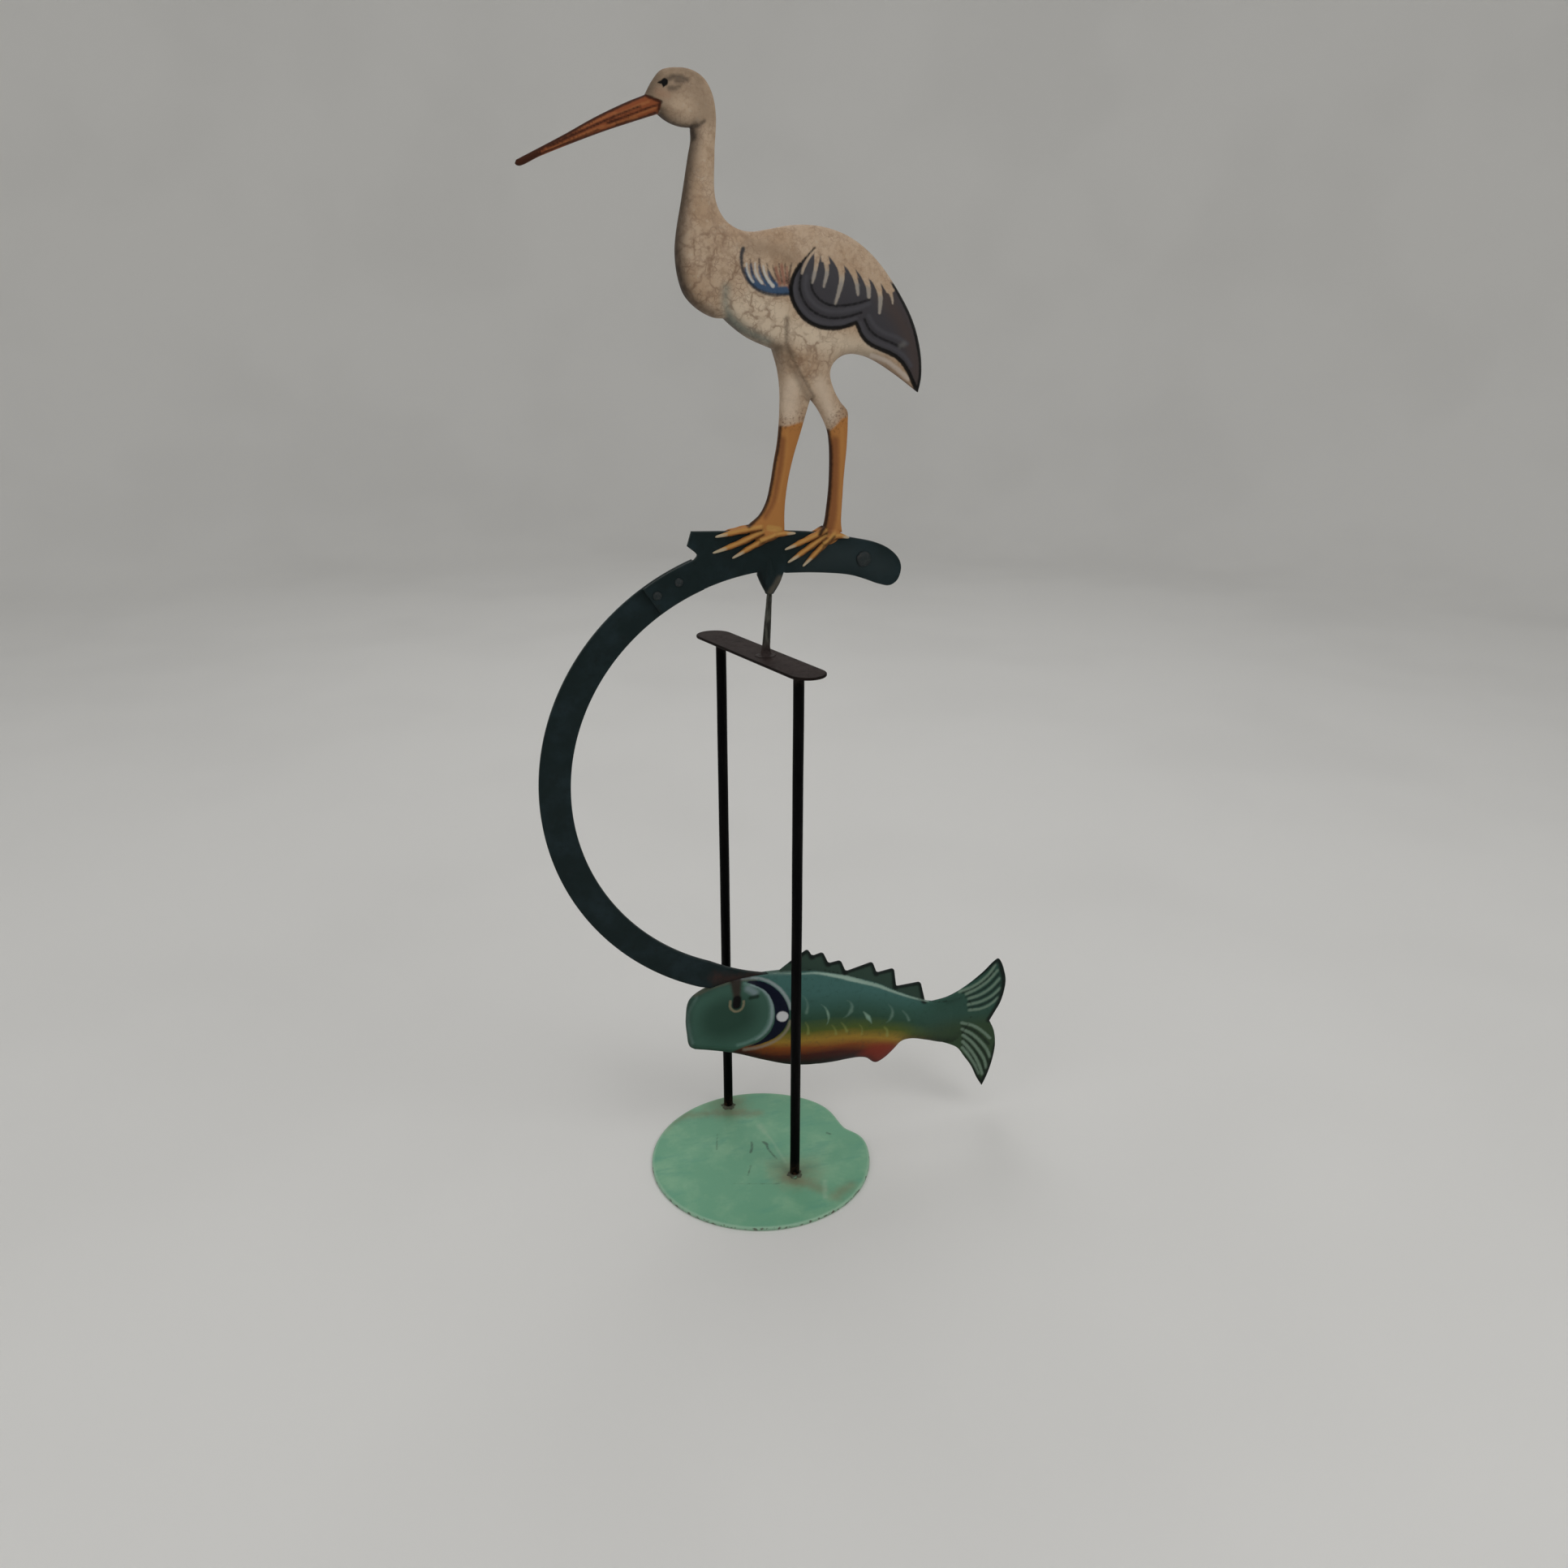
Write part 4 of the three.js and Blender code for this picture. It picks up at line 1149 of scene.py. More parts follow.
    "wing_smudge": [([(74, 502.6), (76, 503.8)], 2.4, 2.6)],
}
# How a layer is painted, lowest first: colour, softness in millimetres, strength, and where
# it is kept to a wider layer, or off one, with the reach of the fade
BIRD_LAYERS = [
    ("pale_legs", "#d8c4ae", 4, 0.7),
    ("knee", "#8d6845", 2.4, 0.4),
    ("teal", "#73837c", 3.2, 0.6),
    # Painted shade on the far leg
    ("far_leg", "#665746", 2.4, 0.6),
    # Painted shade in the thigh crease
    ("crease", "#5a4a3b", 1.5, 0.75),
    ("crown", "#76654f", 2.2, 0.5),
    ("cheek", "#a9836b", 2.4, 0.5),
    # Painted shade under the chin
    ("chin", "#3b322c", 1.1, 0.9),
    ("tail_patch", "#cfc1b5", 0.8, 0.75),
    # Painted shade under the tail
    ("tail_line", "#6b5444", 0.6, 0.75),
    ("legs", "#b07740", 1.0, 1.0),
    # Painted highlight on the legs' lit side
    ("shin", "#b98448", 1.1, 0.6),
    ("leg_red", "#7c4a2c", 1.6, 0.75),
    # Painted highlight on the toes
    ("toe_light", "#c39752", 0.8, 0.7),
    # Dark leg edges, partly painted shade, and painted shade under the toes
    ("leg_dark", "#2c170c", 1.0, 0.95),
    ("claws", "#bcb097", 1.0, 0.9),
    ("bill", "#904f2e", 0.35, 1.0),
    ("bill_light", "#a8693f", 0.5, 0.85),
    ("bill_dark", "#1f0c06", 0.5, 0.85),
    ("brow", "#4b4037", 1.3, 0.8),
    ("eye", "#020101", 0.35, 1.0),
    ("plume_blue", "#2f4f70", 0.7, 0.95),
    ("plume_navy", "#232a33", 0.7, 0.9),
    ("plume_pink", "#8c5648", 0.8, 0.75),
    ("plume_dark", "#3c312d", 0.5, 0.75),
    ("plume_white", "#c9c8c2", 0.45, 0.9),
    ("wing", "#403e42", 0.5, 1.0, ("wing_tips", -0.5)),
    ("wing_warm", "#4c3f3a", 5.0, 0.7, ("wing", 0.6), ("wing_tips", -0.5)),
    ("wing_bands", "#4c4b50", 0.9, 0.8),
    ("wing_lines", "#0e0d10", 0.6, 0.95),
    ("wing_smudge", "#6b6a68", 1.2, 0.6),
    ("wing_outline", "#030202", 0.5, 0.97),
    ("wing_tips", "#a99f91", 0.5, 0.95, ("wing", 5)),
    ("wing_tip_ends", "#8d8a86", 0.8, 0.6, ("wing", 2)),
]


# The fish, in the arm's plane

FISH_BODY = [
    [
        (-46.5, 84.2), (-49.6, 86.6), (-50.9, 94.8), (-51.4, 105.9), (-48.9, 119),
        (-40.4, 125.4), (-18.3, 131.4), (3.8, 132.2), (20.9, 131.2), (39.3, 128.4),
        (58.6, 120.8), (78.4, 111.4), (96.9, 101.2), (109.8, 94.9), (123.5, 92.6),
        (137.5, 93.8), (143.6, 83.8), (140.6, 71.7), (131.5, 60.6), (123.2, 60.9),
        (111.2, 65), (99.4, 68.3), (93.4, 67.6), (88.6, 62.6), (82.4, 56.6), (76.4, 53.3),
        (73.6, 54.2), (68.4, 58.6), (61.6, 60.1), (52, 59.7), (40.4, 59.5), (26, 60.4),
        (13.9, 63), (-2.2, 69.2), (-20.3, 77), (-35.4, 81.6), (-46.5, 84.2),
    ],
]
FISH_CHEEK = [
    [
        (-49.8, 85), (-50.7, 94.8), (-51.4, 105.9), (-48.9, 119), (-40.4, 125.4),
        (-18.3, 130), (-6.2, 126.5), (2.8, 114.9), (6.3, 101.9), (2.8, 88.8), (-7.2, 80.8),
        (-19.3, 78.2), (-35.4, 81.6), (-49.8, 85),
    ],
]
# The line that the blend of colours is measured up from
BELLY_LINE = [
    (-60, 86), (-49.8, 84), (-35.4, 80), (-20.3, 74), (-2.2, 65), (13.9, 62.5), (24, 61),
    (34, 60), (48, 59.4), (60, 58.4), (76, 55), (90, 51.5), (104, 46), (118, 42), (170, 40),
]
BACK_FIN = [
    (6.9, 128), (8.9, 132.2), (16.9, 138), (27.8, 145.2), (31, 139.7), (38, 141.6),
    (41.9, 132.8), (50, 134), (53.6, 125.2), (71.6, 129.8), (74.8, 121.2), (86.5, 123),
    (88.6, 109), (105.6, 110), (109.4, 95), (105, 90), (61, 110), (21, 122),
]
TAIL_FIN = [
    [
        (113.4, 93.6), (125.9, 95.6), (138, 101.4), (150.4, 110.6), (157.6, 117.6),
        (160.8, 119.4), (163, 116.4), (165.2, 110.6), (166.9, 102.9), (166.4, 94.6),
        (164.2, 85.8), (160.4, 78.4), (157.2, 72.5),
    ],
    [
        (157.2, 72.5), (161.1, 63.9), (162.8, 52.5), (161.5, 40.5), (158.3, 28.5),
        (155, 20.4),
    ],
    [
        (155, 20.4), (151.2, 26.8), (146.2, 37.5), (140.2, 46.6), (134.5, 54.6),
        (123.2, 60.9), (113.4, 64.2),
    ],
    [(113.4, 64.2), (113.4, 93.6)],
]
TAIL_RAYS = [
    [(134, 98), (143, 100.6), (150.5, 105), (155.6, 110), (158.6, 115)],
    [(139, 95.6), (147, 98.6), (154.6, 103.6), (160.8, 110.6)],
    [(141, 91.6), (149, 93.4), (156.4, 97.4), (162.6, 104)],
    [(141, 87), (150, 88), (158, 91.4), (163.6, 96.4)],
    [(142, 82.6), (150, 82.4), (157.4, 84.8), (162.4, 89)],
    [(137, 73.4), (145, 70.2), (152, 65), (159, 57.6)],
    [(137.6, 68.4), (145, 63.4), (151.4, 56.8), (157.4, 48.6), (160, 42.4)],
    [(138.6, 63.4), (144.4, 58), (150.6, 50), (155.6, 41.4), (158, 33.6)],
    [(138.6, 58.4), (143.4, 52.6), (148.6, 44.6), (152.6, 36.4), (155.2, 29)],
    [(138.6, 53.6), (143.6, 46.6), (148.6, 38), (152, 30)],
]
FISH_EYE_RING = [
    (-18.4 + 4.5 * math.cos(a), 112.4 + 5.7 * math.sin(a)) for a in np.linspace(2.7, 6.5, 9)
]
FISH_STROKES = {
    "back": [
        [
            (-8, 132), (8, 131.4), (24, 129.5), (33, 128.6), (44, 125.2), (60, 119.7),
            (75, 113.6), (88, 106.2), (100, 99.6), (111, 95.4), (116, 104), (110, 126),
            (60, 152), (0, 150),
        ],
    ],
    "back_line": [
        ([(0, 131.4), (12, 130), (24, 128), (33, 127.2), (44, 124), (54, 120.6)], -1, 2.9),
        (
            [(54, 120.6), (62, 117.2), (75, 111.8), (88, 104.8), (100, 98.8), (112, 94)],
            3.2, 0.6,
        ),
    ],
    "fin_edges": [([a, b], 3.6, 5) for a, b in pairwise(BACK_FIN[2:15])],
    "rays": [(ray, 2.1, 1.9) for ray in TAIL_RAYS],
    "ray_gaps": [
        (halfway(upper, lower), 1.5, 1.8)
        for group in (TAIL_RAYS[:5], TAIL_RAYS[5:])
        for upper, lower in pairwise(group)
    ],
    "tail_edge": [
        (
            [
                (140, 102.6), (150.4, 110.6), (157.6, 117.6), (160.8, 119.4), (163, 116.4),
                (165.2, 110.6),
            ],
            0.8, 6.4,
        ),
        (
            [(165.2, 110.6), (166.9, 102.9), (166.4, 94.6), (164.2, 85.8), (157.2, 72.5)],
            6.4, 4,
        ),
        ([(140.2, 46.6), (146.2, 37.5), (151.2, 26.8), (155, 20.4)], 2, 5),
        ([(155, 20.4), (158.3, 28.5), (161.5, 40.5), (163, 52.5)], 5, 2),
    ],
    "head": [
        [
            (-56, 83), (-57, 95), (-57, 108), (-52, 123), (-41, 130), (-18, 130.6),
            (-8, 127.4), (1, 121.6), (6, 113.5), (8, 104.5), (7, 95.5), (3.6, 87.6),
            (-4, 81.6), (-13, 79.8), (-24, 77), (-38, 77), (-52, 80),
        ],
    ],
    "head_rim": [
        ([(-13, 126.4), (-4, 122.6), (1.6, 116), (4.2, 107.6), (4.2, 99)], 2.2, 3.2),
        ([(4.2, 99), (1.6, 92), (-4, 86), (-12, 82.6), (-18, 81.6)], 3.2, 1.8),
        ([(-44, 121), (-49.6, 110), (-49.4, 97), (-47.6, 88)], 0.8, 1.6),
    ],
    "head_light": [
        ([(-9, 124.8), (-3, 121.6), (1.8, 116), (4.4, 109), (4.8, 101)], 1.4, 2.2),
        ([(4.8, 101), (3.6, 94), (-0.6, 87.6), (-6, 83.8)], 2.2, 1),
    ],
    "head_brown": [
        ([(-45, 122.4), (-36, 126), (-26, 128.2), (-15, 129.4), (-6, 127.4)], 2, 1.6),
    ],
    "head_heart": [
        [
            (-42, 93), (-43.5, 104), (-39, 113), (-30, 118), (-18, 118.5), (-9, 114),
            (-5.5, 106), (-6, 98), (-11, 91.5), (-20, 87.5), (-32, 87),
        ],
    ],
    "gill": [
        [
            (-14, 127.8), (-6, 127.4), (1, 124.6), (8, 118.6), (12.8, 111.4), (15.6, 103.4),
            (15.6, 95.5), (12.6, 88.6), (7, 83.4), (-1, 80.4), (-12, 79.2), (-3, 82.6),
            (2.6, 87.4), (5.8, 93.8), (6.4, 102), (4.8, 110.6), (0.6, 118.4), (-6, 123.6),
        ],
    ],
    "gill_light": [
        (
            [
                (-20, 129.8), (-10, 130), (-2, 128), (5, 123.6), (10.8, 117.4), (15, 110),
                (17.2, 103.4),
            ],
            1.8, 2.2,
        ),
    ],
    "gill_tan": [([(16.8, 94), (14.6, 88), (8.6, 81.8), (-2, 78), (-14, 77.6)], 1.8, 2.2)],
    "gill_dot": [([(11.2, 98.6), (11.8, 98)], 7.2, 7.2)],
    "eye_ring": [(FISH_EYE_RING, 1.4, 1.4)],
    "pupil": [([(-18.6, 111.4), (-18.2, 115.4)], 5.6, 5.6)],
    "marks": [([(-9.6, 115.3), (-5, 115.8)], 2.6, 2.6)],
    "glints": [([(-10.8, 122.4), (-6.6, 118.8)], 4.6, 4.6)],
    "rust": [
        ([(-19.4, 134), (-18.6, 124), (-18.2, 115)], 9, 4),
        ([(-30, 130.6), (-10, 130.6)], 1.6, 1.2),
    ],
    "nape": [([(-5, 131.6), (6, 131), (17, 129.6)], 0.6, 2)],
    "scales": [
        ([(36.8, 103.6), (39.4, 101.4), (41.4, 98.2), (42.4, 95)], -0.8, 1.5),
        ([(42.4, 95), (42.7, 92), (42.2, 89), (41, 86.4)], 1.5, -0.8),
        ([(66.6, 93), (68.4, 90.8), (70, 88.4)], 0.4, 2.8),
        ([(70, 88.4), (71.4, 86), (72.4, 83.6)], 2.8, 0.2),
    ],
    "scales_faint": [
        ([(55, 103.6), (57.6, 101.4), (58.6, 98), (57.8, 95)], -0.6, 2.6),
        ([(57.8, 95), (56, 92.4), (52.8, 90.6)], 2.6, -0.6),
        ([(83.6, 96.4), (86, 93), (87, 89.4), (86.4, 86.4)], -0.6, 2.2),
        ([(86.4, 86.4), (84.8, 83.8), (82.6, 82)], 2.2, -0.6),
        ([(94, 89.6), (96.8, 86), (98.8, 81.6)], 0, 1.4),
        ([(25, 111.6), (27.6, 107.6), (28.4, 103), (27.6, 98.6)], -0.4, 1.6),
    ],
    "scales_low": [
        ([(26.8, 91.6), (28.6, 88), (28.9, 82.6)], 0, 1.6),
        ([(45, 86.6), (47.2, 82.8), (48, 79)], 0, 1.4),
        ([(51.2, 87.6), (53.8, 84), (55.4, 80.2)], 0, 1.8),
        ([(63.6, 84.4), (66, 80.6), (65.8, 76)], -0.4, 1),
        ([(81.6, 79), (83.6, 76), (83.8, 72)], 0.8, 2),
    ],
    "belly_fin": [[(64, 60), (74, 48), (86, 52), (92, 62), (84, 66), (73, 66)]],
}
FISH_LAYERS = [
    ("belly_fin", "#8c3120", 4, 0.8),
    ("back", "#31443a", 0.7, 0.95),
    ("nape", "#788d81", 1.6, 0.7),
    ("ray_gaps", "#0f1a15", 0.9, 0.85),
    ("rays", "#788f7d", 0.8, 0.85),
    ("tail_edge", "#060908", 1.4, 0.92),
    ("fin_edges", "#05080a", 1.1, 0.9),
    ("back_line", "#a3bdae", 0.8, 0.9),
    ("scales", "#8fb09c", 0.9, 0.8),
    ("scales_faint", "#82a292", 1.2, 0.5),
    ("scales_low", "#9aa45c", 1.0, 0.5),
    ("head", "#406356", 0.8, 1.0),
    ("head_heart", "#234034", 9.0, 0.85),
    ("head_brown", "#77705f", 1.4, 0.65),
    ("head_rim", "#70938a", 1.6, 0.7),
    ("head_light", "#93a6a8", 0.9, 0.75),
    ("gill", "#040b22", 0.5, 1.0),
    ("gill_light", "#98a4a5", 0.8, 0.85),
    ("gill_tan", "#958876", 1.0, 0.75),
    ("gill_dot", "#cdced0", 0.6, 1.0),
    ("glints", "#84969a", 2.0, 0.8),
    ("marks", "#0e2318", 1.2, 0.85),
    ("rust", "#322621", 1.6, 0.92),
    ("eye_ring", "#92876a", 0.7, 0.75),
    ("pupil", "#030101", 0.9, 1.0),
]

# The perch, from its notch round to the lug

PERCH_TOP = [
    [(-39.2, 395.2), (-38, 396.9), (-43.4, 402)],
    [(-43.4, 402), (-41, 409.8)],
    [
        (-41, 409.8), (-12, 409), (17, 408), (32.6, 406.4), (48.5, 403.4), (63, 400.1),
        (71.3, 396.3), (77.2, 390.7), (79, 385.2), (77, 378.4), (72.5, 375.5),
        (65.4, 376.8), (57.1, 379.9), (48.1, 382.6), (27.7, 384.8), (10.2, 385.3),
    ],
    [(10.2, 385.6), (8, 380), (4.3, 374)],
    [(4.3, 374), (0.4, 374)],
    [(0.4, 374), (-2.6, 379.6), (-5.2, 385.7)],
]
PERCH_NOTCH = 110.6
PERCH_LUG_SIDE = 97.5


# Settings that a user would change


def size(name, description, default):
    """A length in metres, from a default in millimetres."""
    return bpy.props.FloatProperty(
        name=name,
        description=description,
        default=default * MM,
        min=0,
        unit="LENGTH",
        subtype="DISTANCE",
    )


def shade(name, description, default):
    """A colour, from a #rrggbb default."""
    return bpy.props.FloatVectorProperty(
        name=name,
        description=description,
        default=linear(default),
        min=0,
        max=1,
        size=3,
        subtype="COLOR",
    )


def light_power(name, description, default):
    return bpy.props.FloatProperty(
        name=name, description=description, default=default, min=0, unit="POWER"
    )


REST_LOW, REST_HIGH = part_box("rest_plate")
REST_THICK = (REST_HIGH.z - REST_LOW.z) / MM


class SculptureSizes(bpy.types.PropertyGroup):
    pad_radius: size("Pad radius", "Radius of the round foot", 69.7)
    pad_thickness: size("Pad thickness", "Thickness of the round foot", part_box("pad")[1].z / MM)
    rod_radius: size("Rod radius", "Radius of the two rods", 3.1)
    rod_spacing: size("Rod spacing", "Distance between the two rods", 85)
    rest_top: size("Rest height", "Height of the rest plate's top", REST_HIGH.z / MM)
    rest_thickness: size("Rest thickness", "Thickness of the rest plate", REST_THICK)
    rest_length: size("Rest length", "Length of the rest plate", 122)
    rest_width: size("Rest width", "Width of the rest plate", 22)
    sheet: size("Sheet thickness", "Thickness of the arm and the perch", 3)
    arm_outer: size("Arm outer radius", "Outer radius of the arm's curve", 143)
    arm_inner: size("Arm inner radius", "Inner radius of the arm's curve", 125.1)
    edge_round: size("Edge rounding", "Rounding of the cut plates' edges", 0.6)
    fin: size("Fin thickness", "Thickness of the fish's fins", 2.2)
    mesh_cell: size("Mesh cell", "Size of the triangles on the stamped bodies", 0.8)


class SculptureColours(bpy.types.PropertyGroup):
    pad_green: shade("Pad green", "Mint green of the foot", "#6fab89")
    pad_pale: shade("Pad pale green", "Paler patches on the foot", "#84b894")
    pad_deep: shade("Pad deep green", "Bluer green brushed on the foot", "#5da086")
    rod_black: shade("Rod black", "Satin black of the rods", "#030304")
    iron: shade("Iron", "Dark brown-grey of the rest plate", "#332a28")
    spike_grey: shade("Spike grey", "Rubbed steel of the spike", "#56564f")
    dark_green: shade("Dark green", "Slate green of the arm and perch", "#101f20")
    dark_green_light: shade("Lighter dark green", "Brushed patches of the slate green", "#1c2b2f")
    rust: shade("Rust", "Rust brown where the arm enters the fish", "#452b24")
    cream: shade("Cream", "The bird's cream", "#c2aa91")
    cream_warm: shade("Warm cream", "Warmer patches of the cream", "#b5997d")
    cream_deep: shade("Deep cream", "Darker tan worked over the cream", "#957b61")
    crackle: shade("Crackle", "Brown of the crackle lines", "#6f503e")
    # Grey-brown of the painted shade along the edges, partly airbrushed paint
    shading: shade("Shading", "Grey-brown airbrushed on the modelled edges", "#463b32")
    belly_maroon: shade("Belly maroon", "The fish's lowest edge", "#28151a")
    belly_red: shade("Belly red", "Brick red above the maroon", "#4b1a13")
    belly_orange: shade("Belly orange", "Orange above the red", "#88481c")
    belly_yellow: shade("Belly yellow", "Ochre yellow above the orange", "#a27f30")
    side_olive: shade("Side olive", "Olive above the yellow", "#525f24")
    side_green: shade("Side green", "Deep green above the olive", "#2c4d3c")
    back_teal: shade("Back teal", "Teal along the fish's back", "#426b66")


class StageSettings(bpy.types.PropertyGroup):
    floor: shade("Floor", "Pale floor and backdrop", "#ecebe8")
    floor_radius: size("Floor radius", "Radius of the flat floor before it curves up", 2200)
    lens: bpy.props.FloatProperty(
        name="Lens", description="Focal length of the camera", default=27, min=1, unit="CAMERA"
    )
    key_power: light_power("Key light", "Power of the main soft light", 7.5)
    fill_power: light_power("Fill light", "Power of the fill and back lights", 3.4)
    overhead_power: light_power("Overhead light", "Power of the wide light overhead", 18)
    world: bpy.props.FloatProperty(
        name="Surroundings", description="Brightness of the even surroundings", default=0.2, min=0
    )


# Operators


class BuildOperator:
    """What every builder of a piece shares."""

    bl_options = {"REGISTER", "UNDO"}

    def execute(self, context):
        scene = context.scene
        self.build(scene.sculpture_sizes, scene.sculpture_colours)
        return {"FINISHED"}


class SCULPTURE_OT_pad(BuildOperator, bpy.types.Operator):
    """Makes the round foot with its one soft notch"""

    bl_idname = "sculpture.pad"
    bl_label = "Foot"

    ROUND = 0.9
    RINGS = [0.1, 0.3, 0.6, 1.0]
    CELL = 1.3
    # How far the foot is from round, and its notch: where, how deep and how wide each way
    LOBE = 1.8
    NOTCH = (13.5, 7.2, 9.0, 17.0)
    STROKES = {
        "scratches": [
            ([(-2.7, 14.5), (-4, 9), (-6, 4.2)], 1.4, 2),
            ([(6.3, 10.7), (6.2, 4), (9.1, -6.5)], 1.8, 1),
            ([(4.6, 12.6), (6.4, 9.6)], 2, 2.4),
            ([(-23.5, 28.5), (-27.2, 12.5)], 0.6, 1),
            ([(-13, -17.9), (-9, -8.5)], 0.8, 1.2),
            ([(48.5, 11.1), (50.6, 9.1)], 1.6, 1.4),
            ([(-24.4, -22.7), (-8.3, -26.9), (4.6, -30.3)], 0.4, 0.8),
        ],
        "scuffs": [
            ([(6.6, 30), (8.1, 21.6)], 5, 3),
            ([(8, 24.6), (10.9, 10.9), (12.4, -0.6), (13.9, -11.8)], 1.6, 1),
            ([(33.5, -35.3), (29.3, -49.3)], 3, 3),
        ],
        # Brown stains, partly painted shadows of the rods
        "stains": [
            ([(-35, 53), (-22.4, 51.6), (-10.6, 48.6), (0.2, 45.4), (9, 43.6)], 2, 3),
            ([(12, -26), (16, -30), (24, -36), (29, -42)], 6, 4),
            ([(36, -50), (48, -43)], 5, 3),
            ([(-60, 44), (-50.5, 51), (-38, 55)], 7, 4),
        ],
    }

    def radius(self, degrees, base):
        at, depth, before, after = self.NOTCH
        off = (degrees - at + 180) % 360 - 180
        spread = np.where(off < 0, before, after)
        lobe = self.LOBE * np.cos(2 * np.radians(degrees + 15))
        return base + lobe - depth * np.exp(-((off / spread) ** 2))

    def build(self, sizes, colours):
        degrees = np.arange(0, 360, 1.2)
        radius = self.radius(degrees, sizes.pad_radius / MM)
        angle = np.radians(degrees)
        outline = np.column_stack([radius * np.cos(angle), radius * np.sin(angle)])
        half = sizes.pad_thickness / MM / 2
        edge = rounded(half, self.ROUND)
        pad = sheet("round_foot", outline, edge, self.CELL, self.RINGS)
        place(pad, Matrix.Translation((0, 0, half)) @ LAY_FLAT)
        at = np.array([tuple(v.co)[:2] for v in pad.data.vertices]) / MM
        write_layer(pad, "edge", depth_in(at, outline))
        write_strokes(pad, at, self.STROKES)
        feet = [rod_foot(sizes, side) for side in (1, -1)]
        away = np.min([np.hypot(*(at - foot).T) for foot in feet], axis=0)
        write_layer(pad, "foot", sizes.rod_radius / MM - away)
        dress(pad, pad_paint(colours), "pad_paint", "pad")


def rod_foot(sizes, side):
    along = side * sizes.rod_spacing / MM / 2
    turn = STAND_TURN + math.pi / 2
    return np.array(ROD_MIDDLE) + along * np.array([math.cos(turn), math.sin(turn)])


class SCULPTURE_OT_rods(BuildOperator, bpy.types.Operator):
    """Makes the two rods and the low welds at their feet"""

    bl_idname = "sculpture.rods"
    bl_label = "Rods"

    # How much a rod is drawn in at its ends
    END_ROUND = 0.4
    # The weld's shape: out from the rod and up from the foot
    WELD = [(0.05, 0.04), (1.5, 0.05), (1.2, 0.25), (0.7, 0.55), (0.35, 1), (0.1, 1.7)]

    def build(self, sizes, colours):
        bottom = sizes.pad_thickness / MM
        top = (sizes.rest_top - sizes.rest_thickness) / MM - GAP
        radius = sizes.rod_radius / MM
        black = rod_paint(colours)
        weld = weld_paint(colours)
        heights = np.linspace(bottom + 0.9, top - self.END_ROUND, 60)
        bar = [(radius, height) for height in heights]
        end = radius - self.END_ROUND
        profile = [(end, bottom + GAP), *bar, (end, top)]

        def drawn(angle, height):
            return 0.035 * math.sin(height / 23 + angle) + 0.02 * math.sin(3 * angle + height / 9)

        for place_name, side in (("back", 1), ("front", -1)):
            foot = rod_foot(sizes, side)
            stand = Matrix.Translation((*foot, 0))
            rod = place(lathe(f"rod_{place_name}_bar", profile, 40, drawn), stand)
            dress(rod, black, "rod_paint", f"rod_{place_name}")

            def beads(angle, height, phase=side):
                low = max(0, bottom + 1.5 - height)
                coarse = 0.35 * math.sin(5 * angle + phase)
                return low * (coarse + 0.25 * math.sin(9 * angle + 2 * phase))

            fillet = [(radius + out, bottom + up) for out, up in self.WELD]
            bead = place(lathe(f"weld_{place_name}", fillet, 56, beads), stand)
            dress(bead, weld, "pad_paint")


class SCULPTURE_OT_rest(BuildOperator, bpy.types.Operator):
    """Makes the rest plate across the rods' tops"""

    bl_idname = "sculpture.rest"
    bl_label = "Rest plate"

    ROUND = 0.55
    RINGS = [0.08, 0.25, 0.5, 0.8, 1.6]
    CELL = 2.5
    END_STEP = 0.9

    def build(self, sizes, colours):
        length, width = sizes.rest_length / MM, sizes.rest_width / MM
        half = sizes.rest_thickness / MM / 2
        end = length / 2 - width / 2
        outline = np.vstack(
            [
                arc((end, 0), width / 2, -90, 90, self.END_STEP),
                straight((end, width / 2), (-end, width / 2)),
                arc((-end, 0), width / 2, 90, 270, self.END_STEP),
                straight((-end, -width / 2), (end, -width / 2)),
            ]
        )
        edge = rounded(half, self.ROUND)
        rest = sheet("rest_strip", outline, edge, self.CELL, self.RINGS)
        at = np.array([(v.co.x, v.co.z) for v in rest.data.vertices])
        write_layer(rest, "edge", depth_in(at, outline))
        top = sizes.rest_top / MM
        place(rest, STAND_FRAME @ Matrix.Translation((0, 0, top - half)) @ LAY_FLAT)
        dress(rest, iron_paint(colours), "plate_iron", "rest_plate")


class SCULPTURE_OT_spike(BuildOperator, bpy.types.Operator):
    """Makes the spike and the solder mound it stands in"""

    bl_idname = "sculpture.spike"
    bl_label = "Spike"

    # Radius and height of the mound and the shaft, then of the point from the lug's tip up
    SHAFT = [
        (6, 0.15), (5.5, 0.3), (4.4, 0.6), (3.5, 1.1), (2.95, 1.9), (2.6, 3.2), (2.4, 5),
        (2.25, 7), (2.15, 10), (2.05, 15), (1.9, 21), (1.65, 28),
    ]
    POINT = [(1.4, 0), (1, 1.2), (0.4, 2.2), (0.12, 2.4)]

    def build(self, sizes, colours):
        top = sizes.rest_top / MM
        height = LUG_TIP[1] - top
        knots = [*self.SHAFT, *((radius, height + up) for radius, up in self.POINT)]
        profile = [tuple(p) for p in spline(knots, 0.5)]

        def lumps(angle, z):
            low = max(0, 1 - z / 8)
            return low * (0.35 * math.sin(2 * angle + 0.6) + 0.22 * math.sin(5 * angle + z) - 0.2)

        spike = lathe("spike_and_mound", profile, 48, lumps)
        lean = Matrix.Identity(4)
        lean[0][2] = LUG_TIP[0] / height
        place(spike, Matrix.Translation((*PIVOT, top)) @ lean)
        dress(spike, spike_metal(colours), "spike_steel", "pivot_spike")


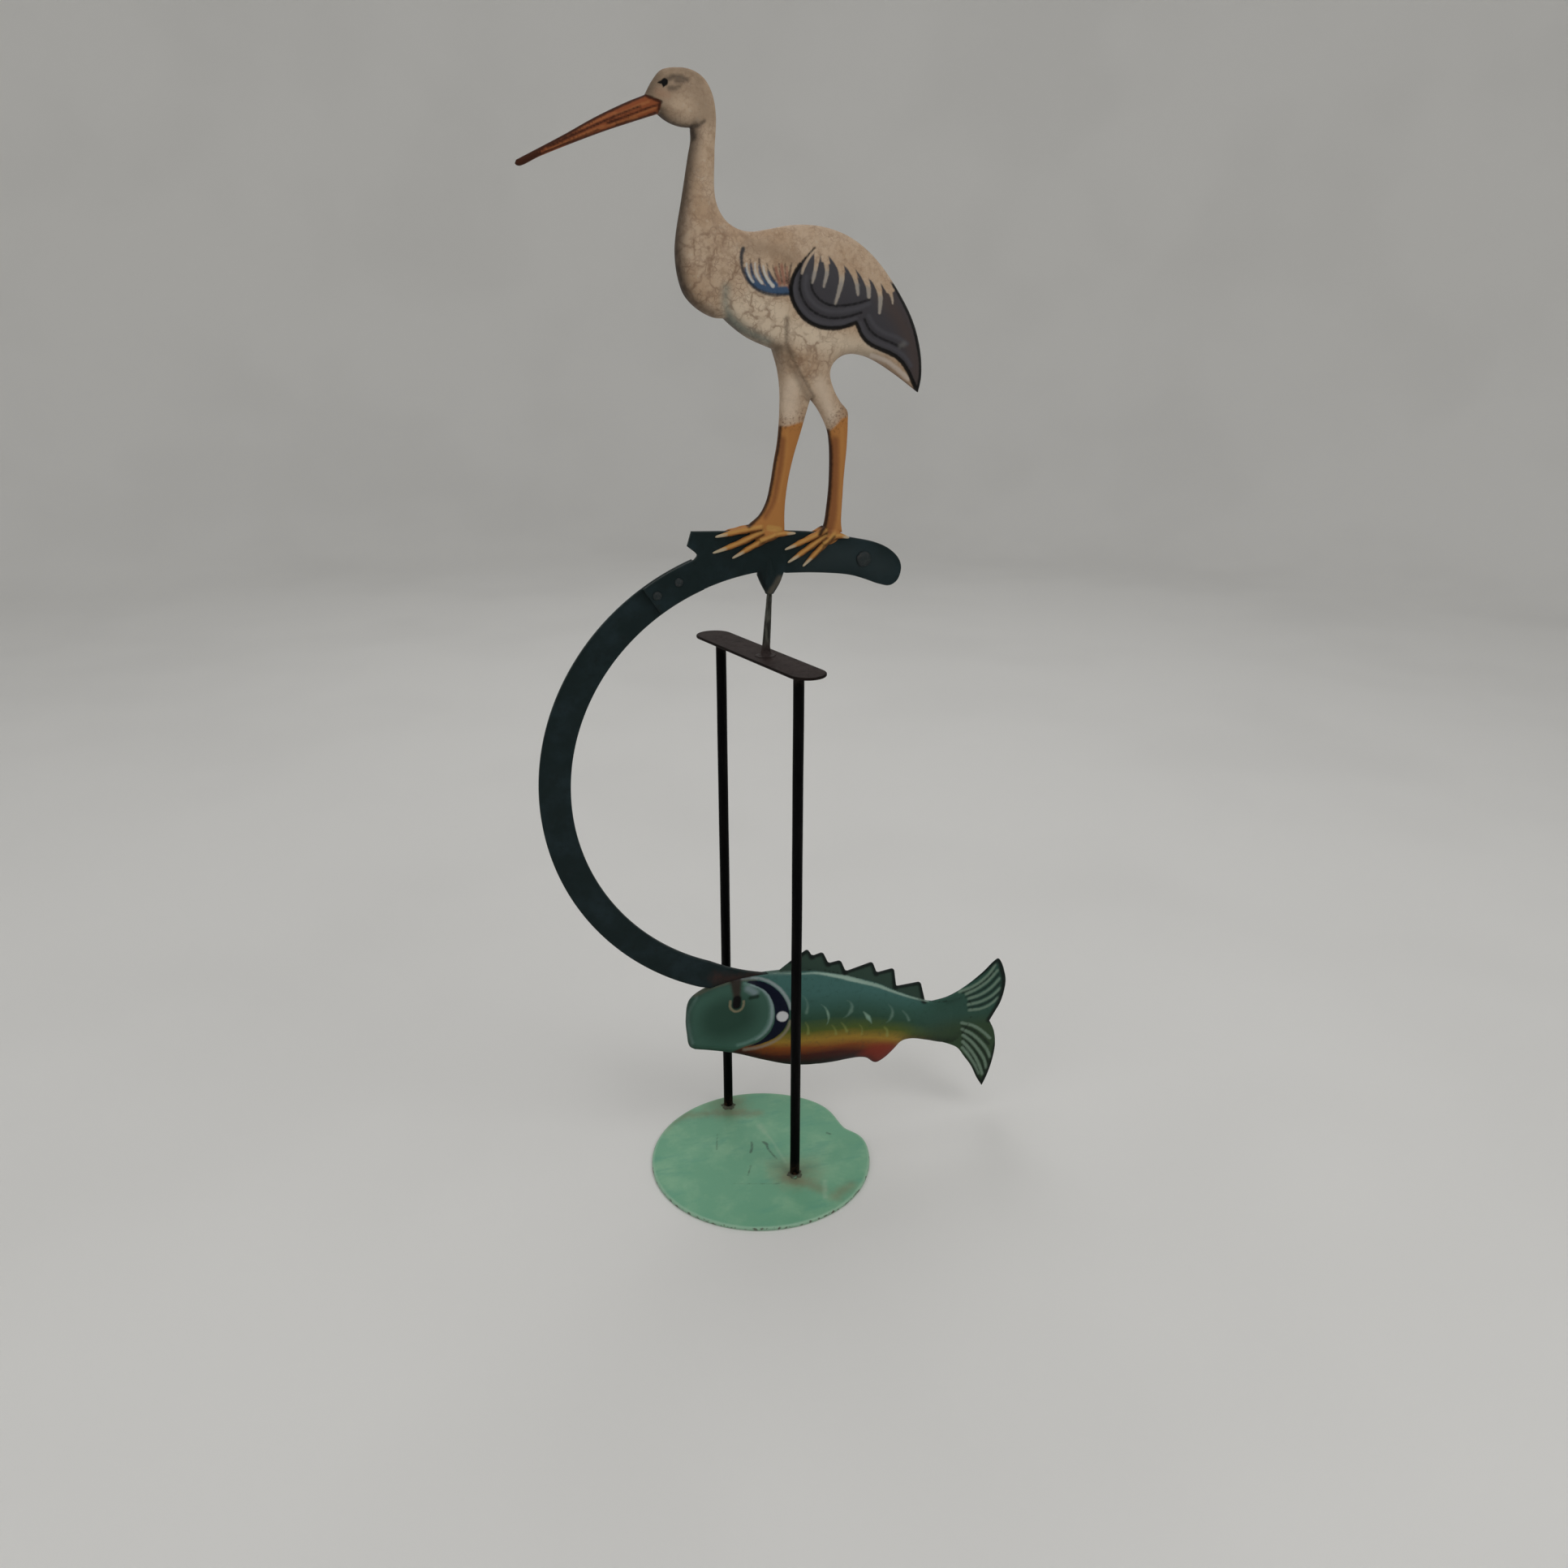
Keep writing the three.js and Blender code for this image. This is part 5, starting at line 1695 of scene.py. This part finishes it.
class SCULPTURE_OT_arm(BuildOperator, bpy.types.Operator):
    """Makes the perch, the curved arm and the rivets that join them"""

    bl_idname = "sculpture.arm"
    bl_label = "Perch, arm and rivets"

    RINGS = [0.07, 0.2, 0.4, 0.65]
    PERCH_CELL = 1.3
    ARM_CELL = 3
    # A rivet head's radius and rise
    PERCH_HEAD = (4.3, 1.5)
    LAP_HEAD = (2.4, 0.9)
    STROKES = {
        "rust": [([(-32, 134), (-18, 131), (-4, 131.5)], 5, 3)],
        # Painted shade down the lug's left side and a painted highlight down its right side
        "lug_dark": [([(-4.2, 385), (-1.8, 379.2), (0.4, 374.6)], 2.8, 2)],
        "lug_light": [([(8.2, 382), (4.8, 378.8), (1.8, 375.2)], 4, 2.4)],
        # Painted sheen towards the perch's right end
        "paler": [([(26, 394), (52, 392), (68, 386)], 16, 10)],
    }

    def build(self, sizes, colours):
        green = green_paint(colours)
        perch = self.perch(sizes)
        arm = self.arm(sizes)
        for piece, outline in ((perch, perch_outline(sizes)), (arm, arm_outline(sizes))):
            at, _ = flat_points(piece)
            write_layer(piece, "edge", depth_in(at, outline))
            write_strokes(piece, at, self.STROKES)
        dress(perch, green, "dark_green", "perch")
        dress(arm, green, "dark_green", "arm")
        half = sizes.sheet / MM / 2
        self.rivet("perch_rivet", PERCH_RIVET, self.PERCH_HEAD, half, half, colours)
        for name, (radius, degrees) in LAP_RIVETS.items():
            at = on_circle(ARM_CENTRE, radius, np.array([degrees]))[0]
            back = half + ARM_BEHIND
            self.rivet(f"lap_rivet_{name}", at, self.LAP_HEAD, half, back, colours)

    def perch(self, sizes):
        half = sizes.sheet / MM / 2
        edge = rounded(half, sizes.edge_round / MM)
        perch = sheet("perch_plate", perch_outline(sizes), edge, self.PERCH_CELL, self.RINGS)
        swelling = [
            (0.05, 0), (2.2, 0.05), (2.6, 1), (3.1, 3), (3.5, 5.5), (3.5, 8), (3.1, 11), (2.4, 15),
            (1.5, 20), (0.05, 24),
        ]
        at_tip = Matrix.Translation((LUG_TIP[0], 0, LUG_TIP[1]))
        solder = lathe("lug_solder", [tuple(p) for p in spline(swelling, 0.6)], 40)
        solder.data.transform(at_tip)
        combine(perch, solder, "UNION")
        hollow = [(1.75, -1), (1.65, 0), (1.35, 1.2), (0.95, 2.4), (0.1, 3.2)]
        socket = lathe("socket", hollow, 32)
        socket.data.transform(at_tip)
        combine(perch, socket, "DIFFERENCE")
        smooth(perch)
        return place(perch, FIGURE)

    def arm(self, sizes):
        edge = rounded(sizes.sheet / MM / 2, sizes.edge_round / MM)
        arm = sheet("arm_band", arm_outline(sizes), edge, self.ARM_CELL, self.RINGS)
        return place(arm, ARM_FRAME)

    def rivet(self, node, at, cap, front, back, colours):
        """A domed head on each side, hammered a little out of round."""
        head, dome = cap

        def hammered(angle, z):
            return 0.05 * math.sin(3 * angle + 1) + 0.04 * math.sin(5 * angle)

        steps = np.linspace(0, 1, 9)
        quarter = math.pi / 2
        rise = [(head * math.sin(quarter * (1 - t)), dome * math.sin(quarter * t)) for t in steps]
        rise[-1] = (0.05, dome)
        shank, seat = head * 0.45, GAP - 0.02
        profile = [(r, -back - GAP - h) for r, h in rise[::-1]]
        profile += [(shank, -back - seat), (shank, front + seat)]
        profile += [(r, front + GAP + h) for r, h in rise]
        rivet = lathe(f"{node}_head", profile, 40, hammered)
        spin = Matrix.Rotation(math.pi / 2, 4, "X")
        place(rivet, FIGURE @ Matrix.Translation((at[0], 0, at[1])) @ spin)
        dress(rivet, rivet_paint(colours), "dark_green", node)


def perch_outline(sizes):
    outer = sizes.arm_outer / MM
    return np.vstack(
        [
            arc(ARM_CENTRE, outer, ARM_SEAM, PERCH_NOTCH, PLATE_STEP)[:-1],
            closed(PERCH_TOP, STROKE_STEP),
            arc(ARM_CENTRE, PERCH_INNER, PERCH_LUG_SIDE, ARM_SEAM, PLATE_STEP),
        ]
    )


def arm_outline(sizes, grow=0.0):
    """The arm's band with its tapered tongue in the fish."""
    outer, inner = sizes.arm_outer / MM, sizes.arm_inner / MM

    def edge(start_radius, end_radius, by):
        angle = np.linspace(ARM_LAP_END, ARM_TIP + grow / 2, 230)
        taper = np.clip((angle - ARM_FISH_MEETS) / (ARM_TIP - ARM_FISH_MEETS), 0, 1)
        radius = start_radius + (end_radius - start_radius) * taper + by
        return on_circle(ARM_CENTRE, radius, angle)

    tips = ARM_TIP_RADII
    outside = edge(outer, tips[0], grow)
    inside = edge(inner, tips[1], -grow)[::-1]
    end = straight(outside[-1], inside[0])
    start = straight(inside[-1], outside[0])
    return np.vstack([outside, end, inside, start])


def shade_towards(points, outline, direction, reach):
    """Painted shade along the edges that face a direction, partly airbrushed paint and partly
    shade. On the rim itself the outline's own direction counts, since the way to the nearest edge
    has none there."""
    away, along, foot = nearest(points, outline, closed_line=True)
    out = foot - points
    out /= np.maximum(np.hypot(*out.T), 1e-6)[:, None]
    count = len(outline)
    on_rim = away < ON_RIM
    out[on_rim] = -inward_at(outline)[np.round(along[on_rim] * count).astype(int) % count]
    facing = np.clip(out @ np.array(direction), 0, 1)
    return facing * np.exp(-((away / reach) ** 2))


class SCULPTURE_OT_bird(BuildOperator, bpy.types.Operator):
    """Makes the wading bird with its relief, toes and painted layers"""

    bl_idname = "sculpture.bird"
    bl_label = "Bird"

    FILM_CELL = 0.7
    GAIN = 0.85
    POWER = 0.8
    # The wing's rise over the body, how far in it is reached from its lower and its upper
    # edge, and the width and depth of the groove along the lower one
    WING_RISE = 0.3
    WING_STEEP = 1.2
    WING_GENTLE = 8
    WING_GROOVE = (0.7, 0.3)
    # How far before the perch's face the toes' middle lies, beyond the gap
    TOE_RISE = 0.5
    # How far a palm swells before the perch's face, and half its height
    PALM_RISE = 2.9
    PALM_REACH = 5
    # Where the paint is most crazed: centre, reach and strength
    CRAZED = [
        ((-28, 534), 26, 1.2),
        ((-4, 518), 20, 0.95),
        ((25, 500), 22, 0.75),
        ((-34, 562), 24, 0.55),
        ((14, 472), 20, 0.6),
        ((38, 472), 12, 0.6),
        ((20, 548), 40, 0.4),
        ((-38, 612), 30, 0.2),
    ]

    def build(self, sizes, colours):
        cell = sizes.mesh_cell / MM
        outline = closed(BIRD_OUTLINE, cell)
        body = puff(outline, self.GAIN, self.POWER, self.FILM_CELL)
        half_thickness = self.with_relief(body, outline)
        bird = sheet("wading_bird", outline, half_thickness, cell, BODY_RINGS)
        half = sizes.sheet / MM / 2
        for number, (at, width, tilt) in enumerate(PALMS):
            combine(bird, self.palm(f"palm_{number}", at, width, tilt, half), "UNION")
        for number, toe in enumerate(TOES):
            for side in (-1, 1):
                combine(bird, self.toe(f"toe_{number}", toe, side, half), "UNION")
        perch = perch_outline(sizes)
        room = rounded(half + GAP, SLOT_EDGE)
        slot = sheet("straddle", perch + [0, GAP], room, SLOT_CELL, SLOT_RINGS)
        combine(bird, slot, "DIFFERENCE")
        smooth(bird)
        place(bird, FIGURE)
        at, depth = flat_points(bird)
        seen = as_seen(at, abs(depth - PIVOT[1]))
        write_strokes(bird, seen, BIRD_STROKES)
        crazed = [
            strength * np.exp(-(np.hypot(*(seen - centre).T) / reach) ** 2)
            for centre, reach, strength in self.CRAZED
        ]
        write_layer(bird, "crazed", np.max(crazed, axis=0))
        # Painted shade along the edges facing front and down, partly airbrushed paint; less of it
        # on the legs, whose relief shades them
        ahead = shade_towards(at, outline, (-0.94, -0.34), 3.9)
        under = shade_towards(at, outline, (-0.2, -0.98), 3) * 0.5
        on_legs = np.interp(at[:, 1], (484, 510), (0.12, 1))
        write_layer(bird, "shade", np.maximum(ahead, under) * on_legs)
        dress(bird, bird_paint(colours), "bird_paint", "bird")

    def with_relief(self, body, outline):
        edge = spline(WING_EDGE, STROKE_STEP)
        below = spline([WING_EDGE[-1], *WING_EDGE_BELOW], STROKE_STEP)
        above = spline([WING_EDGE_BELOW[-1], *WING_EDGE_ABOVE, WING_EDGE[0]], STROKE_STEP)
        wing = np.vstack([edge[:-1], below[:-1], above[:-1]])

        def half_thickness(points, away, foot):
            half = body(points, away, foot)
            points = as_seen(points, half)
            calm = np.clip(away / 2.5, 0, 1)
            cuts = np.zeros(len(points))
            for line, width, depth in CREASES:
                cuts += groove(points, spline(line, STROKE_STEP), width, depth)
            for line in (edge, below):
                cuts += groove(points, line, *self.WING_GROOVE, fade=False)
            lower = np.minimum(nearest(points, edge)[0], nearest(points, below)[0])
            upper = nearest(points, above)[0]
            share = np.minimum(lower / self.WING_STEEP, upper / self.WING_GENTLE)
            raised = np.clip(share, 0, 1) * within(points, wing) * self.WING_RISE
            return half + (raised - cuts) * calm

        return half_thickness

    def palm(self, name, at, width, tilt, half):
        bpy.ops.mesh.primitive_uv_sphere_add(segments=40, ring_count=24)
        palm = bpy.context.object
        palm.name = name
        stretch = Matrix.Diagonal((width / 2, half + self.PALM_RISE, self.PALM_REACH, 1))
        turn = Matrix.Rotation(-math.radians(tilt), 4, "Y")
        palm.data.transform(Matrix.Translation((at[0], 0, at[1])) @ turn @ stretch)
        return palm

    def toe(self, name, toe, side, half):
        """A tapered toe with a slim claw, lying on the perch's face."""
        depth = side * (half + GAP + self.TOE_RISE)
        line = spline(toe, 0.8)
        line = line - (line - EYE) * (abs(depth) + 1.5) / EYE_AWAY
        along = np.linspace(0, 1, len(line))
        radius = np.interp(along, [0, 0.6, 0.74, 0.97, 1], [2.1, 1.6, 1.25, 0.6, 0.25])
        radius += 0.12 * np.sin(along * 21) * (along < 0.7)
        sides = 20
        positions = []
        tangent = np.gradient(line, axis=0)
        tangent /= np.hypot(*tangent.T)[:, None]
        for (x, z), (tx, tz), r in zip(line, tangent, radius):
            for k in range(sides):
                angle = 2 * math.pi * k / sides
                across, out = r * math.cos(angle), r * 1.15 * math.sin(angle)
                positions.append((x - tz * across, depth + out, z + tx * across))
        return add_object(name, positions, tube_faces(len(line), sides, inward=True))


class SCULPTURE_OT_fish(BuildOperator, bpy.types.Operator):
    """Makes the fish with its fins, raised cheek and painted layers"""

    bl_idname = "sculpture.fish"
    bl_label = "Fish"

    FILM_CELL = 0.8
    GAIN = 0.42
    POWER = 0.85
    # Where the body thins into the tail, and where its paint turns into the tail's
    TAIL_FROM = 100
    TAIL_REACH = 38
    TAIL_PAINT_FROM = 94
    TAIL_PAINT_REACH = 28
    # The cheek's rise over the body, and how far inside its edge it is reached
    CHEEK_RISE = 1.2
    CHEEK_SLOPE = 3.2
    FIN_RINGS = [0.1, 0.3, 0.6, 1.1]
    FIN_CELL = 1.1
    FIN_ROUND = 0.7
    # How much of a corner of the back's fin is rounded off
    FIN_BLUNT = 1.1
    # The width and height of the tail's rays
    RAY_RIDGE = (0.8, 0.28)

    def build(self, sizes, colours):
        cell = sizes.mesh_cell / MM
        outline = closed(FISH_BODY, cell)
        cheek = closed(FISH_CHEEK, cell)
        body = puff(outline, self.GAIN, self.POWER, self.FILM_CELL)

        def half_thickness(points, away, foot):
            half = body(points, away, foot)
            tail = np.clip((points[:, 0] - self.TAIL_FROM) / self.TAIL_REACH, 0, 1)
            half = RIM + (half - RIM) * (1 - eased(tail))
            points = as_seen(points, half)
            raised = np.clip(depth_in(points, cheek) / self.CHEEK_SLOPE, 0, 1)
            return half + self.CHEEK_RISE * eased(raised) * np.clip(away / 2, 0, 1)

        fish = sheet("painted_fish", outline, half_thickness, cell, BODY_RINGS)
        relief = self.fin_relief(sizes.fin / MM / 2)
        back = even_closed(blunted(np.array(BACK_FIN, float), self.FIN_BLUNT), cell)
        for number, fin in enumerate((back, closed(TAIL_FIN, cell))):
            made = sheet(f"fin_{number}", fin, relief, self.FIN_CELL, self.FIN_RINGS)
            combine(fish, made, "UNION")
        room = rounded(sizes.sheet / MM / 2 + GAP, SLOT_EDGE)
        slot = sheet("arm_slot", arm_outline(sizes, GAP), room, SLOT_CELL, SLOT_RINGS)
        combine(fish, slot, "DIFFERENCE")
        smooth(fish)
        place(fish, ARM_FRAME)
        at, depth = flat_points(fish)
        seen = as_seen(at, abs(depth - PIVOT[1] - ARM_BEHIND))
        write_strokes(fish, seen, FISH_STROKES)
        belly = np.array(BELLY_LINE).T
        write_layer(fish, "belly", seen[:, 1] - np.interp(seen[:, 0], *belly))
        tailward = (seen[:, 0] - self.TAIL_PAINT_FROM) / self.TAIL_PAINT_REACH
        write_layer(fish, "tailward", np.clip(tailward, 0, 1))
        # Painted shade along the fish's underside and front edge
        under = shade_towards(at, outline, (-0.3, -0.95), 4) * 0.7
        ahead = shade_towards(at, outline, (-0.98, 0.2), 3) * 0.6
        on_body = depth_in(at, outline) > -0.3
        write_layer(fish, "shade", np.maximum(under, ahead) * on_body)
        dress(fish, fish_paint(colours), "fish_paint", "fish")

    def fin_relief(self, half):
        edge = rounded(half, self.FIN_ROUND)
        rays = [spline(ray, STROKE_STEP) for ray in TAIL_RAYS]

        def half_thickness(points, away, foot):
            thick = edge(points, away, foot)
            calm = np.clip(away / 2, 0, 1)
            points = as_seen(points, thick)
            for ray in rays:
                thick = thick + groove(points, ray, *self.RAY_RIDGE) * calm
            return thick

        return half_thickness


def blunted(corners, cut):
    """The corners of an outline, each cut off twice to a small round."""
    for reach in (cut, cut / 3):
        cuts = []
        for before, at, after in zip(np.roll(corners, 1, 0), corners, np.roll(corners, -1, 0)):
            for other in (before, after):
                side = other - at
                cuts.append(at + side * min(reach / max(np.hypot(*side), 1e-9), 0.4))
        corners = np.array(cuts)
    return corners


def even_closed(corners, spacing):
    """A straight-sided outline cut into even steps, with its corners kept."""
    sides = pairwise(np.vstack([corners, corners[:1]]))
    return np.vstack([even_steps(np.array(side), spacing)[:-1] for side in sides])


class SCULPTURE_OT_stage(bpy.types.Operator):
    """Makes the pale floor, the soft lights and the camera"""

    bl_idname = "sculpture.stage"
    bl_label = "Stage"

    EYE = (-0.15093, -0.6184, 0.51)
    TURN = math.radians(15)
    PITCH = math.radians(21.064)
    ROLL = math.radians(0.2117)

    def execute(self, context):
        stage = context.scene.sculpture_stage
        self.floor(stage)
        self.lights(context, stage)
        self.camera(context, stage)
        return {"FINISHED"}

    def floor(self, stage):
        """A round floor that curves up all round, so that every side is backed alike."""
        radius = stage.floor_radius / MM
        bend, wall = 700, 2700
        turns = np.radians(np.linspace(0, 90, 16))
        rise = [(radius + bend * math.sin(t), bend * (1 - math.cos(t))) for t in turns]
        profile = [(1, 0), (200, 0), (700, 0), (1400, 0), *rise, (radius + bend, bend + wall)]
        segments = 96
        positions = []
        for r, z in profile:
            for k in range(segments):
                angle = 2 * math.pi * k / segments
                positions.append((r * math.cos(angle) * MM, r * math.sin(angle) * MM, z * MM))
        open_above = tube_faces(len(profile), segments, inward=True)[:-1]
        floor = add_object("pale_floor", positions, open_above)
        paint = Paint("pale_backdrop_paper")
        fibre = paint.noise(1.5, 3)
        tone = paint.blend(stage.floor, linear("#e4e3e0"), paint.noise(400, 2).step(0.4, 0.7) * 0.5)
        floor.data.materials.append(paint.finish(tone, 0.75 + fibre * 0.1))

    def lights(self, context, stage):
        aim = Vector((0, 0, 0.33))
        for name, spot, width, power in (
            ("key", (0.75, -1.15, 1.5), 1.1, stage.key_power),
            ("fill", (-1.5, -0.7, 0.9), 1.2, stage.fill_power),
            ("back", (0.2, 1.3, 1.5), 1.0, stage.fill_power),
            ("overhead", (0, 0, 3.1), 3.0, stage.overhead_power),
        ):
            light = bpy.data.lights.new(f"{name}_light", "AREA")
            light.shape = "DISK"
            light.size = width
            light.energy = power
            made = bpy.data.objects.new(f"{name}_light", light)
            made.location = spot
            made.rotation_euler = (aim - Vector(spot)).to_track_quat("-Z", "Y").to_euler()
            made.visible_camera = False
            context.scene.collection.objects.link(made)
        world = bpy.data.worlds.new("even_surroundings")
        world.use_nodes = True
        background = world.node_tree.nodes["Background"]
        background.inputs["Color"].default_value = (0.97, 0.98, 1, 1)
        background.inputs["Strength"].default_value = stage.world
        context.scene.world = world
        context.scene.view_settings.view_transform = "Standard"

    def camera(self, context, stage):
        lens = bpy.data.cameras.new("camera")
        lens.lens = stage.lens
        lens.sensor_width = 36
        camera = bpy.data.objects.new("camera", lens)
        right = Vector((math.cos(self.TURN), -math.sin(self.TURN), 0))
        level = Vector((math.sin(self.TURN), math.cos(self.TURN), 0))
        ahead = level * math.cos(self.PITCH) - Vector((0, 0, math.sin(self.PITCH)))
        up = right.cross(ahead)
        c, s = math.cos(self.ROLL), math.sin(self.ROLL)
        axes = Matrix((right * c + up * s, up * c - right * s, -ahead)).transposed()
        camera.matrix_world = Matrix.Translation(self.EYE) @ axes.to_4x4()
        context.scene.collection.objects.link(camera)
        context.scene.camera = camera


PIECES = (
    SCULPTURE_OT_stage,
    SCULPTURE_OT_pad,
    SCULPTURE_OT_rods,
    SCULPTURE_OT_rest,
    SCULPTURE_OT_spike,
    SCULPTURE_OT_arm,
    SCULPTURE_OT_bird,
    SCULPTURE_OT_fish,
)


class SCULPTURE_PT_build(bpy.types.Panel):
    """Lists the pieces in the order in which they are made"""

    bl_idname = "SCULPTURE_PT_build"
    bl_label = "Balance Sculpture"
    bl_space_type = "VIEW_3D"
    bl_region_type = "UI"
    bl_category = "Sculpture"

    def draw(self, context):
        column = self.layout.column()
        for piece in PIECES:
            column.operator(piece.bl_idname)
        for group in (
            context.scene.sculpture_sizes,
            context.scene.sculpture_colours,
            context.scene.sculpture_stage,
        ):
            box = self.layout.box()
            for name in group.__annotations__:
                box.prop(group, name)


CLASSES = (SculptureSizes, SculptureColours, StageSettings, *PIECES, SCULPTURE_PT_build)


def register():
    for one in CLASSES:
        bpy.utils.register_class(one)
    scene = bpy.types.Scene
    scene.sculpture_sizes = bpy.props.PointerProperty(type=SculptureSizes)
    scene.sculpture_colours = bpy.props.PointerProperty(type=SculptureColours)
    scene.sculpture_stage = bpy.props.PointerProperty(type=StageSettings)


def unregister():
    scene = bpy.types.Scene
    del scene.sculpture_sizes, scene.sculpture_colours, scene.sculpture_stage
    for one in reversed(CLASSES):
        bpy.utils.unregister_class(one)


def main():
    register()
    for piece in PIECES:
        group, name = piece.bl_idname.split(".")
        getattr(getattr(bpy.ops, group), name)()


if __name__ == "__main__":
    main()
